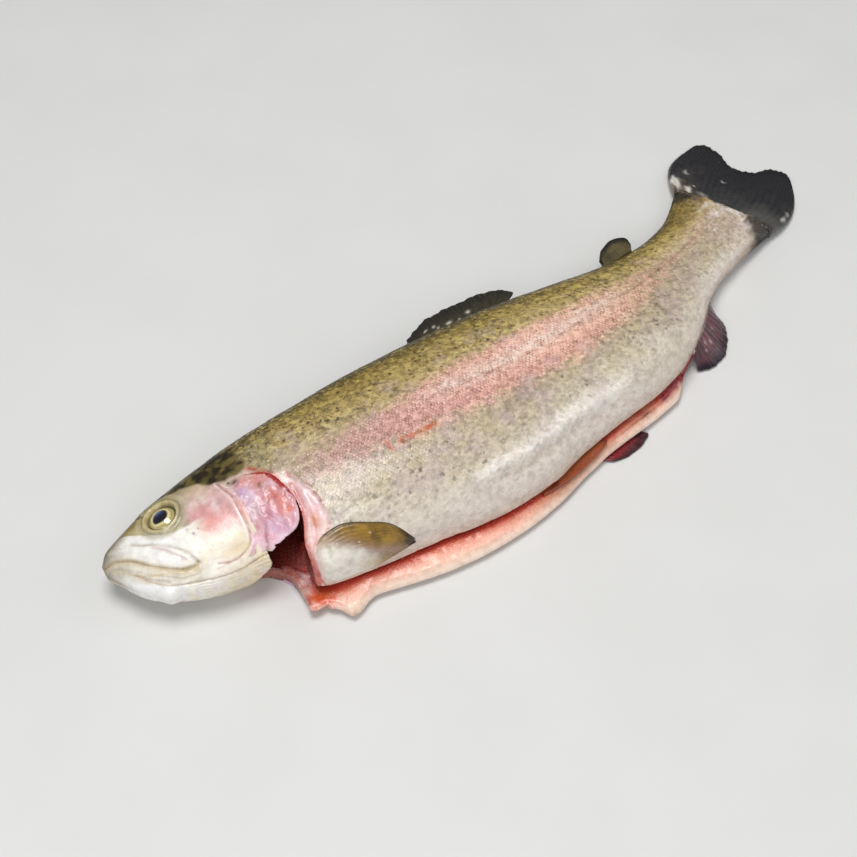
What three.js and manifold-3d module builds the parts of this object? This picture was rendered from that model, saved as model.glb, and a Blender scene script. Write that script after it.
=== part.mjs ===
// A whole rainbow trout, gutted, lying on its right side. Millimetres, +Z up.
// Head towards -X, tail towards +X, back towards +Y, opened belly towards -Y.
import * as THREE from "three";
import { mergeVertices } from "three/addons/utils/BufferGeometryUtils.js";
import Module from "manifold-3d";

// ---------------------------------------------------------------- driving dimensions
const ORIGIN_SHIFT = [-40.702, -12.795, 0]; // moves the fish so that the origin is under the middle of its box
const SKIN_POWER = 0.92; // fullness of the cross sections (1 = ellipse)
const SLIT_FLOOR = 5.1; // top face of the lower belly wall
const SLIT_ROOF = 11; // underside of the upper belly lip
const SLIT_FROM = 55, SLIT_TO = 223; // stations where the belly is cut open, throat to vent
const CAVITY_FROM = 70, CAVITY_TO = 216;
const GAP = 0.35; // clearance between a set-in piece and the body
const COVER_THICK = 1.8;
const EYE_R = 5.3, EYE_DEPTH = 3.6;
const FIN_THICK = 1.4;

// Backbone line in plan.
const SPINE = [
  [-124.5, 12], [-112, 7], [-95, 3], [-78, 1], [-60, -0.5], [-40, -3.5], [-15, -5.5], [10, -6],
  [35, -4.8], [60, -2.2], [85, 2.2], [108, 9], [130, 18], [150, 27], [168, 35.5],
];
// station along the backbone, reach to the back, reach to the upper belly lip, reach to the lower belly lip,
// height, mid height, offset of the highest line, height of the upper lip, height of the lower lip
const SECTIONS = [
  [0, 0.3, 0.3, 0.3, 12.6, 12.2, 0, 12.2, 12.2],
  [1.5, 4.2, 4, 4, 16, 12.2, 0, 12.2, 12.2],
  [6, 9.2, 8, 8, 18.6, 12.2, 0.5, 12.2, 12.2],
  [12, 14.2, 13.3, 13.3, 21, 12.4, 1, 12.4, 12.4],
  [18, 18.2, 17.0, 17.0, 22.8, 12.6, 1.5, 12.6, 12.6],
  [24, 20.6, 19.4, 19.4, 24.6, 12.9, 1.5, 12.9, 12.9],
  [30, 22.6, 20.9, 20.9, 26.2, 13.2, 1.5, 13.2, 13.2],
  [36, 24.4, 21.7, 21.7, 27.6, 13.6, 1.5, 13.6, 13.6],
  [42, 25.8, 21.9, 21.9, 28.9, 14, 1.5, 13.8, 13.6],
  [48, 27.2, 22.2, 22.6, 30, 14.5, 1.5, 13.4, 12.6],
  [54, 28.4, 25, 30, 31.2, 15, 1.5, 12.6, 8],
  [57, 29, 28, 36.4, 31.7, 15.2, 1.5, 12.1, 5.5],
  [60, 29.6, 31, 38, 32.2, 15.5, 1.5, 11.6, 4.5],
  [64, 30.6, 33.6, 38.8, 32.9, 15.8, 1.5, 11, 4],
  [69, 31.7, 34.9, 41, 33.6, 16.2, 1.5, 10.6, 3.4],
  [73.4, 32.8, 35.2, 45.2, 34.2, 16.6, 1.5, 10.4, 3],
  [77, 33.5, 35.1, 44.2, 34.7, 16.8, 1.5, 10.3, 3],
  [80.5, 34.1, 35, 41.8, 35, 16.9, 1.5, 10.2, 3],
  [84, 34.8, 35, 40.6, 35.2, 17, 1.5, 10.2, 3],
  [96, 36.8, 34.8, 42.3, 35.8, 17.2, 1.5, 10, 3],
  [108, 38.2, 35.2, 43.8, 36, 17.4, 1.5, 10, 3],
  [120, 39.2, 36.6, 44.2, 36, 17.4, 1.5, 10, 3],
  [132, 39.6, 37.2, 43.6, 36, 17.4, 1.5, 10, 3],
  [150, 39.4, 36.2, 40.8, 35.6, 17.2, 1.5, 10, 3],
  [168, 38, 32.4, 36.6, 34.4, 16.8, 1.5, 10, 3],
  [186, 35.4, 30.9, 34.8, 32.4, 15.8, 1.5, 10, 3],
  [204, 31.8, 30.8, 34.6, 29.6, 14.4, 1.5, 9.8, 3.2],
  [216, 29, 29.4, 31.4, 27.4, 13.4, 1.2, 9.8, 4.6],
  [228, 26, 26.4, 26.6, 24.6, 12, 1, 10, 7.6],
  [240, 22.8, 22, 22, 21.6, 10.6, 1, 9.8, 8.6],
  [252, 19.8, 18, 18, 18.6, 9.2, 1, 9, 8.6],
  [264, 17.4, 16.8, 16.8, 16, 8, 1, 8, 8],
  [276, 17, 17.6, 17.6, 13.4, 6.8, 1, 6.8, 6.8],
  [288, 19, 19.4, 19.4, 10.4, 5.6, 1, 5.6, 5.6],
  [300.4, 22.5, 21.5, 21.5, 7.4, 4.4, 1, 4.4, 4.4],
];
const BODY_STATIONS = [
  0, 1.5, 4, 8, 12, 18, 24, 30, 36, 42, 48, 54, 57, 60, 64, 69, 73.4, 77, 80.5, 84, 92, 102, 114, 126, 138, 150, 162,
  174, 186, 198, 208, 216, 224, 232, 240, 250, 260, 270, 280, 290, 300.4,
];
const RING_HALF = 16; // facets from the ridge to each lip

// Left gill cover: polar angle round the section, front edge station, rear edge station.
const COVER_ROWS = [
  [77, 46.3, 50.5], [84.5, 48, 59.3], [91, 48.4, 62.4], [98, 48.6, 64.1], [104.6, 48.7, 65.5], [110.4, 48.7, 66.1],
  [116.5, 48.5, 65.8], [122.6, 48, 64.8], [128.2, 47.6, 62.5], [133, 47.4, 59.4], [138.5, 46.3, 56.8],
  [145, 44.5, 54.4], [150, 43.5, 52.1],
];
// Pectoral fin on the flank: station, upper edge angle, lower edge angle.
const PECTORAL_ROWS = [
  [66.5, 144, 167], [70, 137.5, 168.5], [75, 135.5, 170], [80, 135.5, 171], [85, 138.5, 171.5], [90, 144, 171.5],
  [94, 152, 171], [97.5, 163, 169],
];
// Outlines in (station, offset from the backbone).
const TAIL_OUTLINE = [
  [300.8, -21.2], [300.8, 22.2], [303.5, 26.6], [308.1, 29.4],
  [312.6, 31.2], [317.5, 30.6], [322.3, 29.7], [328.1, 29.7], [333.4, 29.2], [336.5, 26.5], [336.8, 22.4],
  [335.2, 17.9], [332.2, 13.6], [331, 9.8], [330.8, 6.5], [331.5, 3.1], [333.3, -0.2], [336.2, -2.5], [338.3, -4.8],
  [339.5, -7.9], [338.2, -11.7], [335, -14.5], [326.9, -18.5], [318.6, -21.7], [311.6, -23.5], [305.8, -23.2],
];
const ANAL_OUTLINE = [
  [228, -26.9], [232, -25.5], [236, -24.1], [240, -22.5], [244, -21], [248, -19.6], [251.5, -18.8], [251.6, -20.5],
  [250.1, -23.2], [249.6, -25.8], [248.3, -28.3], [243.9, -30.7], [239.9, -33.1], [235.3, -34.4], [231.1, -33.9],
  [227, -32.5], [225.4, -30.5],
];
const DORSAL_OUTLINE = [
  [141, 39.95], [150, 39.8], [160, 39.1], [170, 38.2], [178, 37.1], [184, 36.3], [190, 35.9], [194.6, 36.6],
  [194.6, 39.3], [191.6, 42.2], [187.9, 44.4], [183.9, 46.1], [179.1, 47], [173.5, 47.2], [169.2, 48.2],
  [164.1, 48.6], [158.7, 48.4], [152.6, 47.4], [147.2, 45.6], [142.6, 43],
];
const ADIPOSE_OUTLINE = [
  [239.5, 23.4], [243, 22.5], [247, 21.6], [250.5, 20.8], [254, 20.6], [257.5, 21.2], [259.3, 23], [259, 26.1],
  [256.9, 28.1], [252.6, 29.4], [247.8, 29.1], [243.2, 27],
];
const PECTORAL_RIGHT_OUTLINE = [
  [67, -27], [72, -24], [80, -22.5], [88, -24], [95, -28.5], [98, -32.5], [94.5, -34.5], [86, -35], [76, -34.6],
  [67, -33.5],
];
const PELVIC_RIGHT_OUTLINE = [
  [173, -28], [180, -27.5], [187, -29.5], [192.5, -33], [194, -36.2], [191.2, -37.9], [187.8, -38.9], [183.5, -38.9],
  [179.4, -38.1], [175.4, -36.6], [173, -33.5],
];
const PELVIC_LEFT_OUTLINE = [
  [145.5, -36.6], [147, -33.6], [152, -31.8], [160, -30.6], [169, -30.4], [177.5, -31.6], [176.5, -33.6],
  [170, -35], [164.5, -35.9], [158.8, -37], [153.8, -38], [148.4, -38.4],
];
// Gill chamber and throat notch, in (station, offset).
const CHAMBER_OUTLINE = [
  [51, 0], [57, 0.6], [62.6, 0.2], [65.4, -4.5], [66.9, -10.5], [66.9, -15.9], [65.6, -19.5], [63.7, -23],
  [62.8, -26.4], [62.8, -29.5], [63.2, -34], [63.4, -52], [52, -52], [51.6, -30], [51, -22.6], [50.6, -17],
];
const THROAT_OUTLINE = [
  [47.5, -27], [50.4, -22.7], [52.4, -20.9], [55, -20.6], [57.2, -22.4], [57.8, -28], [57.8, -34], [57.2, -38.2],
  [57.6, -52], [40, -52],
];

// ---------------------------------------------------------------- curve helpers
function pchip(xs, ys, x) {
  const n = xs.length, h = [], dl = [], m = new Array(n).fill(0);
  for (let i = 0; i < n - 1; i++) { h.push(xs[i + 1] - xs[i]); dl.push((ys[i + 1] - ys[i]) / h[i]); }
  for (let i = 1; i < n - 1; i++) {
    if (dl[i - 1] * dl[i] > 0) {
      const a = 2 * h[i] + h[i - 1], b = h[i] + 2 * h[i - 1];
      m[i] = (a + b) / (a / dl[i - 1] + b / dl[i]);
    }
  }
  m[0] = dl[0]; m[n - 1] = dl[n - 2];
  let k = 0;
  while (k < n - 2 && x > xs[k + 1]) k++;
  const t = Math.min(1, Math.max(0, (x - xs[k]) / h[k])), t2 = t * t, t3 = t2 * t;
  return (2 * t3 - 3 * t2 + 1) * ys[k] + (t3 - 2 * t2 + t) * h[k] * m[k] + (3 * t2 - 2 * t3) * ys[k + 1] + (t3 - t2) * h[k] * m[k + 1];
}
function naturalSpline(xs, ys) {
  const n = xs.length, h = xs.slice(1).map((v, i) => v - xs[i]);
  const a = new Array(n).fill(0), b = new Array(n).fill(1), c = new Array(n).fill(0), r = new Array(n).fill(0);
  for (let i = 1; i < n - 1; i++) {
    a[i] = h[i - 1]; b[i] = 2 * (h[i - 1] + h[i]); c[i] = h[i];
    r[i] = 6 * ((ys[i + 1] - ys[i]) / h[i] - (ys[i] - ys[i - 1]) / h[i - 1]);
  }
  for (let i = 1; i < n; i++) { const w = a[i] / b[i - 1]; b[i] -= w * c[i - 1]; r[i] -= w * r[i - 1]; }
  const M = new Array(n).fill(0);
  M[n - 1] = r[n - 1] / b[n - 1];
  for (let i = n - 2; i >= 0; i--) M[i] = (r[i] - c[i] * M[i + 1]) / b[i];
  return (x) => {
    let k = 0;
    while (k < n - 2 && x > xs[k + 1]) k++;
    const u = (xs[k + 1] - x) / h[k], v = 1 - u;
    return u * ys[k] + v * ys[k + 1] + ((u ** 3 - u) * M[k] + (v ** 3 - v) * M[k + 1]) * h[k] * h[k] / 6;
  };
}
const knots = [0];
for (let i = 1; i < SPINE.length; i++)
  knots.push(knots[i - 1] + Math.hypot(SPINE[i][0] - SPINE[i - 1][0], SPINE[i][1] - SPINE[i - 1][1]));
const LENGTH = knots[knots.length - 1];
const spineX = naturalSpline(knots, SPINE.map((p) => p[0])), spineY = naturalSpline(knots, SPINE.map((p) => p[1]));
function frameAt(s) {
  const q = Math.min(LENGTH, Math.max(0, s)), a = Math.max(0, q - 1), b = Math.min(LENGTH, q + 1);
  let tx = spineX(b) - spineX(a), ty = spineY(b) - spineY(a);
  const l = Math.hypot(tx, ty); tx /= l; ty /= l;
  return { x: spineX(q) + tx * (s - q), y: spineY(q) + ty * (s - q), tx, ty };
}
const columns = SECTIONS[0].map((_, i) => SECTIONS.map((r) => r[i]));
const column = (i, s) => pchip(columns[0], columns[i], s);
// (station, offset towards the back, height) to x, y, z
function place(s, w, z) {
  const f = frameAt(s);
  return new THREE.Vector3(f.x - f.ty * w, f.y + f.tx * w, z);
}
// Point of the skin: angle 0 on the back ridge, +pi on the upper lip, -pi on the lower lip.
function sectionPoint(s, phi) {
  const d = column(1, s), vl = column(2, s), vr = column(3, s), h = column(4, s), zm = column(5, s), wt = column(6, s);
  const upper = phi >= 0, c = Math.cos(phi), k = Math.pow(Math.abs(Math.sin(phi)), SKIN_POWER);
  const v = upper ? vl : vr;
  const w = wt + (c > 0 ? (d - wt) * c : (v + wt) * c);
  const base = c > 0 ? zm : column(upper ? 7 : 8, s), bottom = 2 * zm - h - 0.6;
  const z = upper ? base + (h - base) * k : base - (base - bottom) * k;
  return [w, Math.max(0, z)];
}
function skin(s, phi) { const [w, z] = sectionPoint(s, phi); return place(s, w, z); }
function skinNormal(s, phi) {
  const e = 0.02, a = skin(s + 0.5, phi).sub(skin(s - 0.5, phi)), b = skin(s, phi + e).sub(skin(s, phi - e));
  const n = a.cross(b).normalize(), out = skin(s, phi).sub(place(s, 0, column(5, s)));
  return n.dot(out) < 0 ? n.negate() : n;
}
const rad = THREE.MathUtils.degToRad;

// ---------------------------------------------------------------- solids
const wasm = await Module();
wasm.setup();
function toSolid(geometry) {
  const g = geometry.clone();
  for (const name of Object.keys(g.attributes)) if (name !== "position") g.deleteAttribute(name);
  const merged = mergeVertices(g, 1e-4), index = [];
  for (let i = 0; i < merged.index.count; i += 3) {
    const [a, b, c] = [merged.index.getX(i), merged.index.getX(i + 1), merged.index.getX(i + 2)];
    if (a !== b && b !== c && a !== c) index.push(a, b, c);
  }
  const vertProperties = new Float32Array(merged.attributes.position.array);
  let made = new wasm.Manifold(new wasm.Mesh({ numProp: 3, vertProperties, triVerts: new Uint32Array(index) }));
  if (made.volume() < 0) {
    for (let i = 0; i < index.length; i += 3) [index[i + 1], index[i + 2]] = [index[i + 2], index[i + 1]];
    made = new wasm.Manifold(new wasm.Mesh({ numProp: 3, vertProperties, triVerts: new Uint32Array(index) }));
  }
  return made;
}
function toGeometry(solid) {
  const m = solid.getMesh(), n = m.numProp, v = new Float32Array(m.numVert * 3);
  for (let i = 0; i < m.numVert; i++) v.set(m.vertProperties.subarray(i * n, i * n + 3), i * 3);
  const g = new THREE.BufferGeometry();
  g.setAttribute("position", new THREE.BufferAttribute(v, 3));
  g.setIndex(new THREE.BufferAttribute(new Uint32Array(m.triVerts), 1));
  g.computeVertexNormals();
  return g;
}
function indexed(points, index) {
  const g = new THREE.BufferGeometry();
  g.setAttribute("position", new THREE.BufferAttribute(new Float32Array(points.flatMap((p) => [p.x, p.y, p.z])), 3));
  g.setIndex(index);
  return g;
}
// Closed loft through rings of equal length, each end closed by a fan round its middle.
function loft(rings) {
  const n = rings[0].length, points = rings.flat(), index = [];
  for (let i = 0; i < rings.length - 1; i++)
    for (let j = 0; j < n; j++) {
      const a = i * n + j, b = i * n + ((j + 1) % n), c = a + n, d = b + n;
      index.push(a, b, d, a, d, c);
    }
  for (const [ring, start, flip] of [[rings[0], 0, true], [rings[rings.length - 1], (rings.length - 1) * n, false]]) {
    const middle = ring.reduce((s, p) => s.add(p), new THREE.Vector3()).divideScalar(n), m = points.push(middle) - 1;
    for (let j = 0; j < n; j++) {
      const a = start + j, b = start + ((j + 1) % n);
      if (flip) index.push(m, b, a); else index.push(m, a, b);
    }
  }
  return toSolid(indexed(points, index));
}
// Slab between two grids of points with the same rows and columns.
function slab(outer, inner) {
  const rows = outer.length, cols = outer[0].length, at = (k, i, j) => k * rows * cols + i * cols + j;
  const points = [...outer.flat(), ...inner.flat()], index = [];
  for (let i = 0; i < rows - 1; i++)
    for (let j = 0; j < cols - 1; j++) {
      index.push(at(0, i, j), at(0, i, j + 1), at(0, i + 1, j + 1), at(0, i, j), at(0, i + 1, j + 1), at(0, i + 1, j));
      index.push(at(1, i, j), at(1, i + 1, j + 1), at(1, i, j + 1), at(1, i, j), at(1, i + 1, j), at(1, i + 1, j + 1));
    }
  const rim = [];
  for (let j = 0; j < cols - 1; j++) rim.push([0, j]);
  for (let i = 0; i < rows - 1; i++) rim.push([i, cols - 1]);
  for (let j = cols - 1; j > 0; j--) rim.push([rows - 1, j]);
  for (let i = rows - 1; i > 0; i--) rim.push([i, 0]);
  rim.forEach(([i, j], k) => {
    const [p, q] = rim[(k + 1) % rim.length];
    index.push(at(0, i, j), at(1, i, j), at(1, p, q), at(0, i, j), at(1, p, q), at(0, p, q));
  });
  return toSolid(indexed(points, index));
}
// Patch lying on the skin; edge(v) gives [angle, first station, last station], side is +1 or -1.
function skinPatch(edge, rows, cols, side, low, high, grow = 0) {
  const build = (offset) => {
    const grid = [];
    for (let i = 0; i <= rows; i++) {
      const [angle, s0, s1] = edge(i / rows, grow), line = [];
      for (let j = 0; j <= cols; j++) {
        const s = s0 - grow + (s1 + grow - (s0 - grow)) * (j / cols), phi = side * rad(angle);
        const p = skin(s, phi).addScaledVector(skinNormal(s, phi), offset);
        line.push(p);
      }
      grid.push(line);
    }
    return grid;
  };
  return slab(build(high), build(low));
}
// Plate over an outline in (station, offset); bottom and top give the heights.
function plate(given, bottom, top) {
  let outline = given, flat = outline.map(([s, w]) => { const p = place(s, w, 0); return new THREE.Vector2(p.x, p.y); });
  if (THREE.ShapeUtils.area(flat) < 0) { outline = [...outline].reverse(); flat = [...flat].reverse(); }
  const turn = ([a, b, c]) => THREE.ShapeUtils.area([flat[a], flat[b], flat[c]]) < 0 ? [a, c, b] : [a, b, c];
  const faces = THREE.ShapeUtils.triangulateShape(flat, []).map(turn), n = outline.length, index = [];
  const points = [
    ...outline.map(([s, w]) => place(s, w, bottom(s, w))),
    ...outline.map(([s, w]) => place(s, w, top(s, w))),
  ];
  for (const [a, b, c] of faces) { index.push(a, c, b); index.push(a + n, b + n, c + n); }
  for (let i = 0; i < n; i++) { const j = (i + 1) % n; index.push(i, j, j + n, i, j + n, i + n); }
  return toSolid(indexed(points, index));
}
// Outline pushed outwards by a clearance.
function grown(outline, by) {
  const n = outline.length;
  let area = 0;
  outline.forEach(([x, y], i) => { const [u, v] = outline[(i + 1) % n]; area += x * v - u * y; });
  const sign = area > 0 ? 1 : -1;
  return outline.map(([x, y], i) => {
    const [ax, ay] = outline[(i + n - 1) % n], [bx, by2] = outline[(i + 1) % n];
    let nx = by2 - ay, ny = -(bx - ax);
    const l = Math.hypot(nx, ny) || 1;
    return [x + (nx / l) * by * sign, y + (ny / l) * by * sign];
  });
}

// ---------------------------------------------------------------- body
function bodyRing(s) {
  const ring = [];
  for (let i = 0; i <= RING_HALF; i++) ring.push(skin(s, (Math.PI * i) / RING_HALF));
  for (let i = 0; i < RING_HALF; i++) ring.push(skin(s, -Math.PI + (Math.PI * i) / RING_HALF));
  return ring;
}
let body = loft(BODY_STATIONS.map(bodyRing));

const bump = (s) => { // 1 along the middle of the cavity, smaller towards its two ends
  const a = THREE.MathUtils.smoothstep(s, CAVITY_FROM - 8, CAVITY_FROM + 18), b = 1 - THREE.MathUtils.smoothstep(s, CAVITY_TO - 34, CAVITY_TO + 10);
  return Math.min(a, b);
};
function cavityRing(s) {
  const e = bump(s), vl = column(2, s), h = column(4, s), f = SLIT_FLOOR, wd = -13 + 21 * e;
  const up = (share) => f + (share * h - f) * (0.45 + 0.55 * e);
  return [
    [-vl * 0.955, f], [-vl * 0.6, f], [-vl * 0.3, f], [wd - 10, f + 0.1], [wd - 3, f + 2.2], [wd, up(0.34)],
    [wd - 4, up(0.5)], [-vl * 0.05 - 6 * (1 - e), up(0.59)], [-vl * 0.36, up(0.62)], [-vl * 0.62, up(0.59)],
    [-vl * 0.82, up(0.47)], [-vl * 0.93, Math.min(up(0.34), 12.4)], [-vl * 0.955, SLIT_ROOF - 0.6],
  ].map(([w, z]) => place(s, w, z));
}
const cavityStations = [];
for (let i = 0; i <= 15; i++) cavityStations.push(CAVITY_FROM + ((CAVITY_TO - CAVITY_FROM) * i) / 15);
const cavity = loft(cavityStations.map(cavityRing));
const slitStations = [];
for (let i = 0; i <= 22; i++) slitStations.push(SLIT_FROM + ((SLIT_TO - SLIT_FROM) * i) / 22);
const slit = loft(slitStations.map((s) => {
  const vl = column(2, s), vr = column(3, s), near = THREE.MathUtils.smoothstep(s, 204, SLIT_TO);
  const inner = -vl + 9 - 4 * near, floor = SLIT_FLOOR + 0.9 * near, roof = SLIT_ROOF - 1.3 * near;
  return [[-vr - 8, floor], [inner, floor], [inner, roof], [-vr - 8, roof]].map(([w, z]) => place(s, w, z));
}));
const chamber = plate(CHAMBER_OUTLINE, () => 7.6, () => 60);
const throat = plate(THROAT_OUTLINE, () => -5, () => 60);
body = body.subtract(cavity).subtract(slit).subtract(chamber).subtract(throat);

// ---------------------------------------------------------------- gill covers
const coverColumns = COVER_ROWS[0].map((_, i) => COVER_ROWS.map((r) => r[i]));
const coverEdge = (v, grow) => {
  const first = COVER_ROWS[0][0], last = COVER_ROWS[COVER_ROWS.length - 1][0], angle = first + (last - first) * v;
  const wider = angle + (v === 0 ? -grow * 2.2 : v === 1 ? grow * 2.2 : 0);
  return [wider, pchip(coverColumns[0], coverColumns[1], angle), pchip(coverColumns[0], coverColumns[2], angle)];
};
const coverRows = 12, coverCols = 6;
const gillCoverLeft = skinPatch(coverEdge, coverRows, coverCols, 1, -COVER_THICK, 0);
const gillCoverRight = skinPatch(coverEdge, coverRows, coverCols, -1, -COVER_THICK, 0);
body = body
  .subtract(skinPatch(coverEdge, coverRows, coverCols, 1, -COVER_THICK - GAP, 4, GAP))
  .subtract(skinPatch(coverEdge, coverRows, coverCols, -1, -COVER_THICK - GAP, 4, GAP));

// ---------------------------------------------------------------- eyes
const EYE_STATION = 23.3, EYE_ANGLE = 71.6;
function eye(side, grow) {
  const phi = side * rad(EYE_ANGLE), n = skinNormal(EYE_STATION, phi), sink = side > 0 ? 2.7 : 3.2;
  const g = new THREE.SphereGeometry(1, 20, 14);
  g.rotateX(Math.PI / 2);
  g.scale(EYE_R + grow, EYE_R + grow, EYE_DEPTH + grow);
  g.applyQuaternion(new THREE.Quaternion().setFromUnitVectors(new THREE.Vector3(0, 0, 1), n));
  const c = skin(EYE_STATION, phi).addScaledVector(n, -sink);
  g.translate(c.x, c.y, c.z);
  return toSolid(g);
}
const eyeLeft = eye(1, 0), eyeRight = eye(-1, 0);
body = body.subtract(eye(1, GAP)).subtract(eye(-1, GAP));

// ---------------------------------------------------------------- fins
const slope = (x0, y0, x1, y1) => (x) => y0 + (y1 - y0) * Math.min(1, Math.max(0, (x - x0) / (x1 - x0)));
const tailBottom = slope(300.8, 3, 336, 0), tailTop = slope(300.8, 5.4, 336, 1.5);
const tailFin = plate(TAIL_OUTLINE, (s) => tailBottom(s), (s) => tailTop(s));
const analDrop = (s, w) => slope(0, 7.4, 9.5, 0.9)(-w - column(2, s) - 0.3);
const analFin = plate(ANAL_OUTLINE, (s, w) => analDrop(s, w) - FIN_THICK / 2, (s, w) => analDrop(s, w) + FIN_THICK / 2);
const dorsalFin = plate(DORSAL_OUTLINE, (s) => 16.2 - (s - 141) * 0.03, (s) => 17.8 - (s - 141) * 0.03);
const adiposeFin = plate(ADIPOSE_OUTLINE, () => 9.6, () => 11.6);
const pectoralColumns = PECTORAL_ROWS[0].map((_, i) => PECTORAL_ROWS.map((r) => r[i]));
const pectoralGrid = (offset) => {
  const grid = [];
  for (let i = 0; i <= 10; i++) {
    const s = 66.5 + (31 * i) / 10, a = pchip(pectoralColumns[0], pectoralColumns[1], s), b = pchip(pectoralColumns[0], pectoralColumns[2], s);
    const line = [];
    for (let j = 0; j <= 6; j++) {
      const phi = rad(a + ((b - a) * j) / 6);
      line.push(skin(s, phi).addScaledVector(skinNormal(s, phi), offset));
    }
    grid.push(line);
  }
  return grid;
};
const pectoralLeft = slab(pectoralGrid(GAP + FIN_THICK), pectoralGrid(GAP));
const pectoralRight = plate(PECTORAL_RIGHT_OUTLINE, () => 0, () => 1.3);
const pelvicRight = plate(PELVIC_RIGHT_OUTLINE, () => 0, () => 1.3);
const pelvicLeft = plate(PELVIC_LEFT_OUTLINE, () => SLIT_FLOOR + 0.35, () => SLIT_FLOOR + 1.6);
body = body
  .subtract(plate(grown(PECTORAL_RIGHT_OUTLINE, GAP), () => -3, () => 1.3 + GAP))
  .subtract(plate(grown(PELVIC_RIGHT_OUTLINE, GAP), () => -3, () => 1.3 + GAP));

// ---------------------------------------------------------------- assembly
const trout = new THREE.Group();
trout.position.set(...ORIGIN_SHIFT);
function add(name, solid, color, roughness) {
  const mesh = new THREE.Mesh(toGeometry(solid), new THREE.MeshStandardMaterial({ color, roughness, metalness: 0 }));
  mesh.name = name;
  trout.add(mesh);
}
add("body", body, 0xa9a283, 0.35);
add("eye_left", eyeLeft, 0x1a2230, 0.1);
add("eye_right", eyeRight, 0x1a2230, 0.1);
add("gill_cover_left", gillCoverLeft, 0xc9a0a8, 0.3);
add("gill_cover_right", gillCoverRight, 0xc9a0a8, 0.3);
add("dorsal_fin", dorsalFin, 0x4b4a33, 0.45);
add("adipose_fin", adiposeFin, 0x4a4a34, 0.45);
add("tail_fin", tailFin, 0x24242a, 0.45);
add("anal_fin", analFin, 0x54363f, 0.45);
add("pectoral_fin_left", pectoralLeft, 0x8a6f35, 0.4);
add("pectoral_fin_right", pectoralRight, 0x8a6f35, 0.4);
add("pelvic_fin_left", pelvicLeft, 0x9a5a36, 0.4);
add("pelvic_fin_right", pelvicRight, 0x5c1420, 0.4);

export default trout;
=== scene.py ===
import math
import bpy
import numpy as np
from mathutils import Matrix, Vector
from mathutils.kdtree import KDTree


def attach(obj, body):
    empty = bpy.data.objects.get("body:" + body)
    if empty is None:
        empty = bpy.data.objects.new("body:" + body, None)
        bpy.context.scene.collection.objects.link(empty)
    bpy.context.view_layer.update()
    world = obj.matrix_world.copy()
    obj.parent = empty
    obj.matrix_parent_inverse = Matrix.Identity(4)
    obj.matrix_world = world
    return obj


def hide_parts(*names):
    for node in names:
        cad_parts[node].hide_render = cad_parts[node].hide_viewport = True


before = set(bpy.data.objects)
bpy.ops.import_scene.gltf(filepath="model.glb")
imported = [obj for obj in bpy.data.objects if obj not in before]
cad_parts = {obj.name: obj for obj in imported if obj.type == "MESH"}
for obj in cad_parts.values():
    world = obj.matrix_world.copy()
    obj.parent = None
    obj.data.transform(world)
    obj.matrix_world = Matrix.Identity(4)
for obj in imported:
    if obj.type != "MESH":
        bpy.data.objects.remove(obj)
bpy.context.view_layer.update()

SHIFT = np.array([-40.702, -12.795, 0.0])      # fish drawing frame to row frame, mm
D2R = math.pi / 180.0

# ------------------------------------------------------------------ curves
def pchip(xk, yk, x):
    xk = np.asarray(xk, float); yk = np.asarray(yk, float); x = np.asarray(x, float)
    h = np.diff(xk); dl = np.diff(yk) / h
    m = np.zeros(len(xk))
    for i in range(1, len(xk) - 1):
        if dl[i-1] * dl[i] > 0:
            a = 2*h[i] + h[i-1]; b = h[i] + 2*h[i-1]
            m[i] = (a + b) / (a/dl[i-1] + b/dl[i])
    m[0] = dl[0]; m[-1] = dl[-1]
    k = np.clip(np.searchsorted(xk, x) - 1, 0, len(xk) - 2)
    t = np.clip((x - xk[k]) / h[k], 0, 1)
    return ((2*t**3-3*t**2+1)*yk[k] + (t**3-2*t**2+t)*h[k]*m[k] + (3*t**2-2*t**3)*yk[k+1] + (t**3-t**2)*h[k]*m[k+1])
def natural(xk, yk):
    xk = np.asarray(xk, float); yk = np.asarray(yk, float); n = len(xk); h = np.diff(xk)
    A = np.zeros((n, n)); r = np.zeros(n); A[0, 0] = A[-1, -1] = 1
    for i in range(1, n-1):
        A[i, i-1] = h[i-1]; A[i, i] = 2*(h[i-1]+h[i]); A[i, i+1] = h[i]
        r[i] = 6*((yk[i+1]-yk[i])/h[i] - (yk[i]-yk[i-1])/h[i-1])
    M = np.linalg.solve(A, r)
    def f(x):
        x = np.asarray(x, float); k = np.clip(np.searchsorted(xk, x)-1, 0, n-2)
        a = (xk[k+1]-x)/h[k]; b = 1-a
        return a*yk[k]+b*yk[k+1]+((a**3-a)*M[k]+(b**3-b)*M[k+1])*h[k]**2/6
    return f
def sm(x, a, b):
    t = np.clip((np.asarray(x, float) - a) / (b - a), 0, 1)
    return t*t*(3-2*t)
SPINE = np.array([(-124.5,12),(-112,7),(-95,3),(-78,1),(-60,-0.5),(-40,-3.5),(-15,-5.5),(10,-6),(35,-4.8),(60,-2.2),(85,2.2),(108,9),(130,18),(150,27),(168,35.5)], float)
KN = np.concatenate([[0], np.cumsum(np.hypot(*np.diff(SPINE, axis=0).T))]); LEN = KN[-1]
fx, fy = natural(KN, SPINE[:, 0]), natural(KN, SPINE[:, 1])
def spine_frame(s):
    s = np.asarray(s, float); q = np.clip(s, 0, LEN); a = np.clip(q-1, 0, LEN); b = np.clip(q+1, 0, LEN)
    tx, ty = fx(b)-fx(a), fy(b)-fy(a); l = np.hypot(tx, ty); tx = tx/l; ty = ty/l
    return fx(q)+tx*(s-q), fy(q)+ty*(s-q), tx, ty
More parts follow.
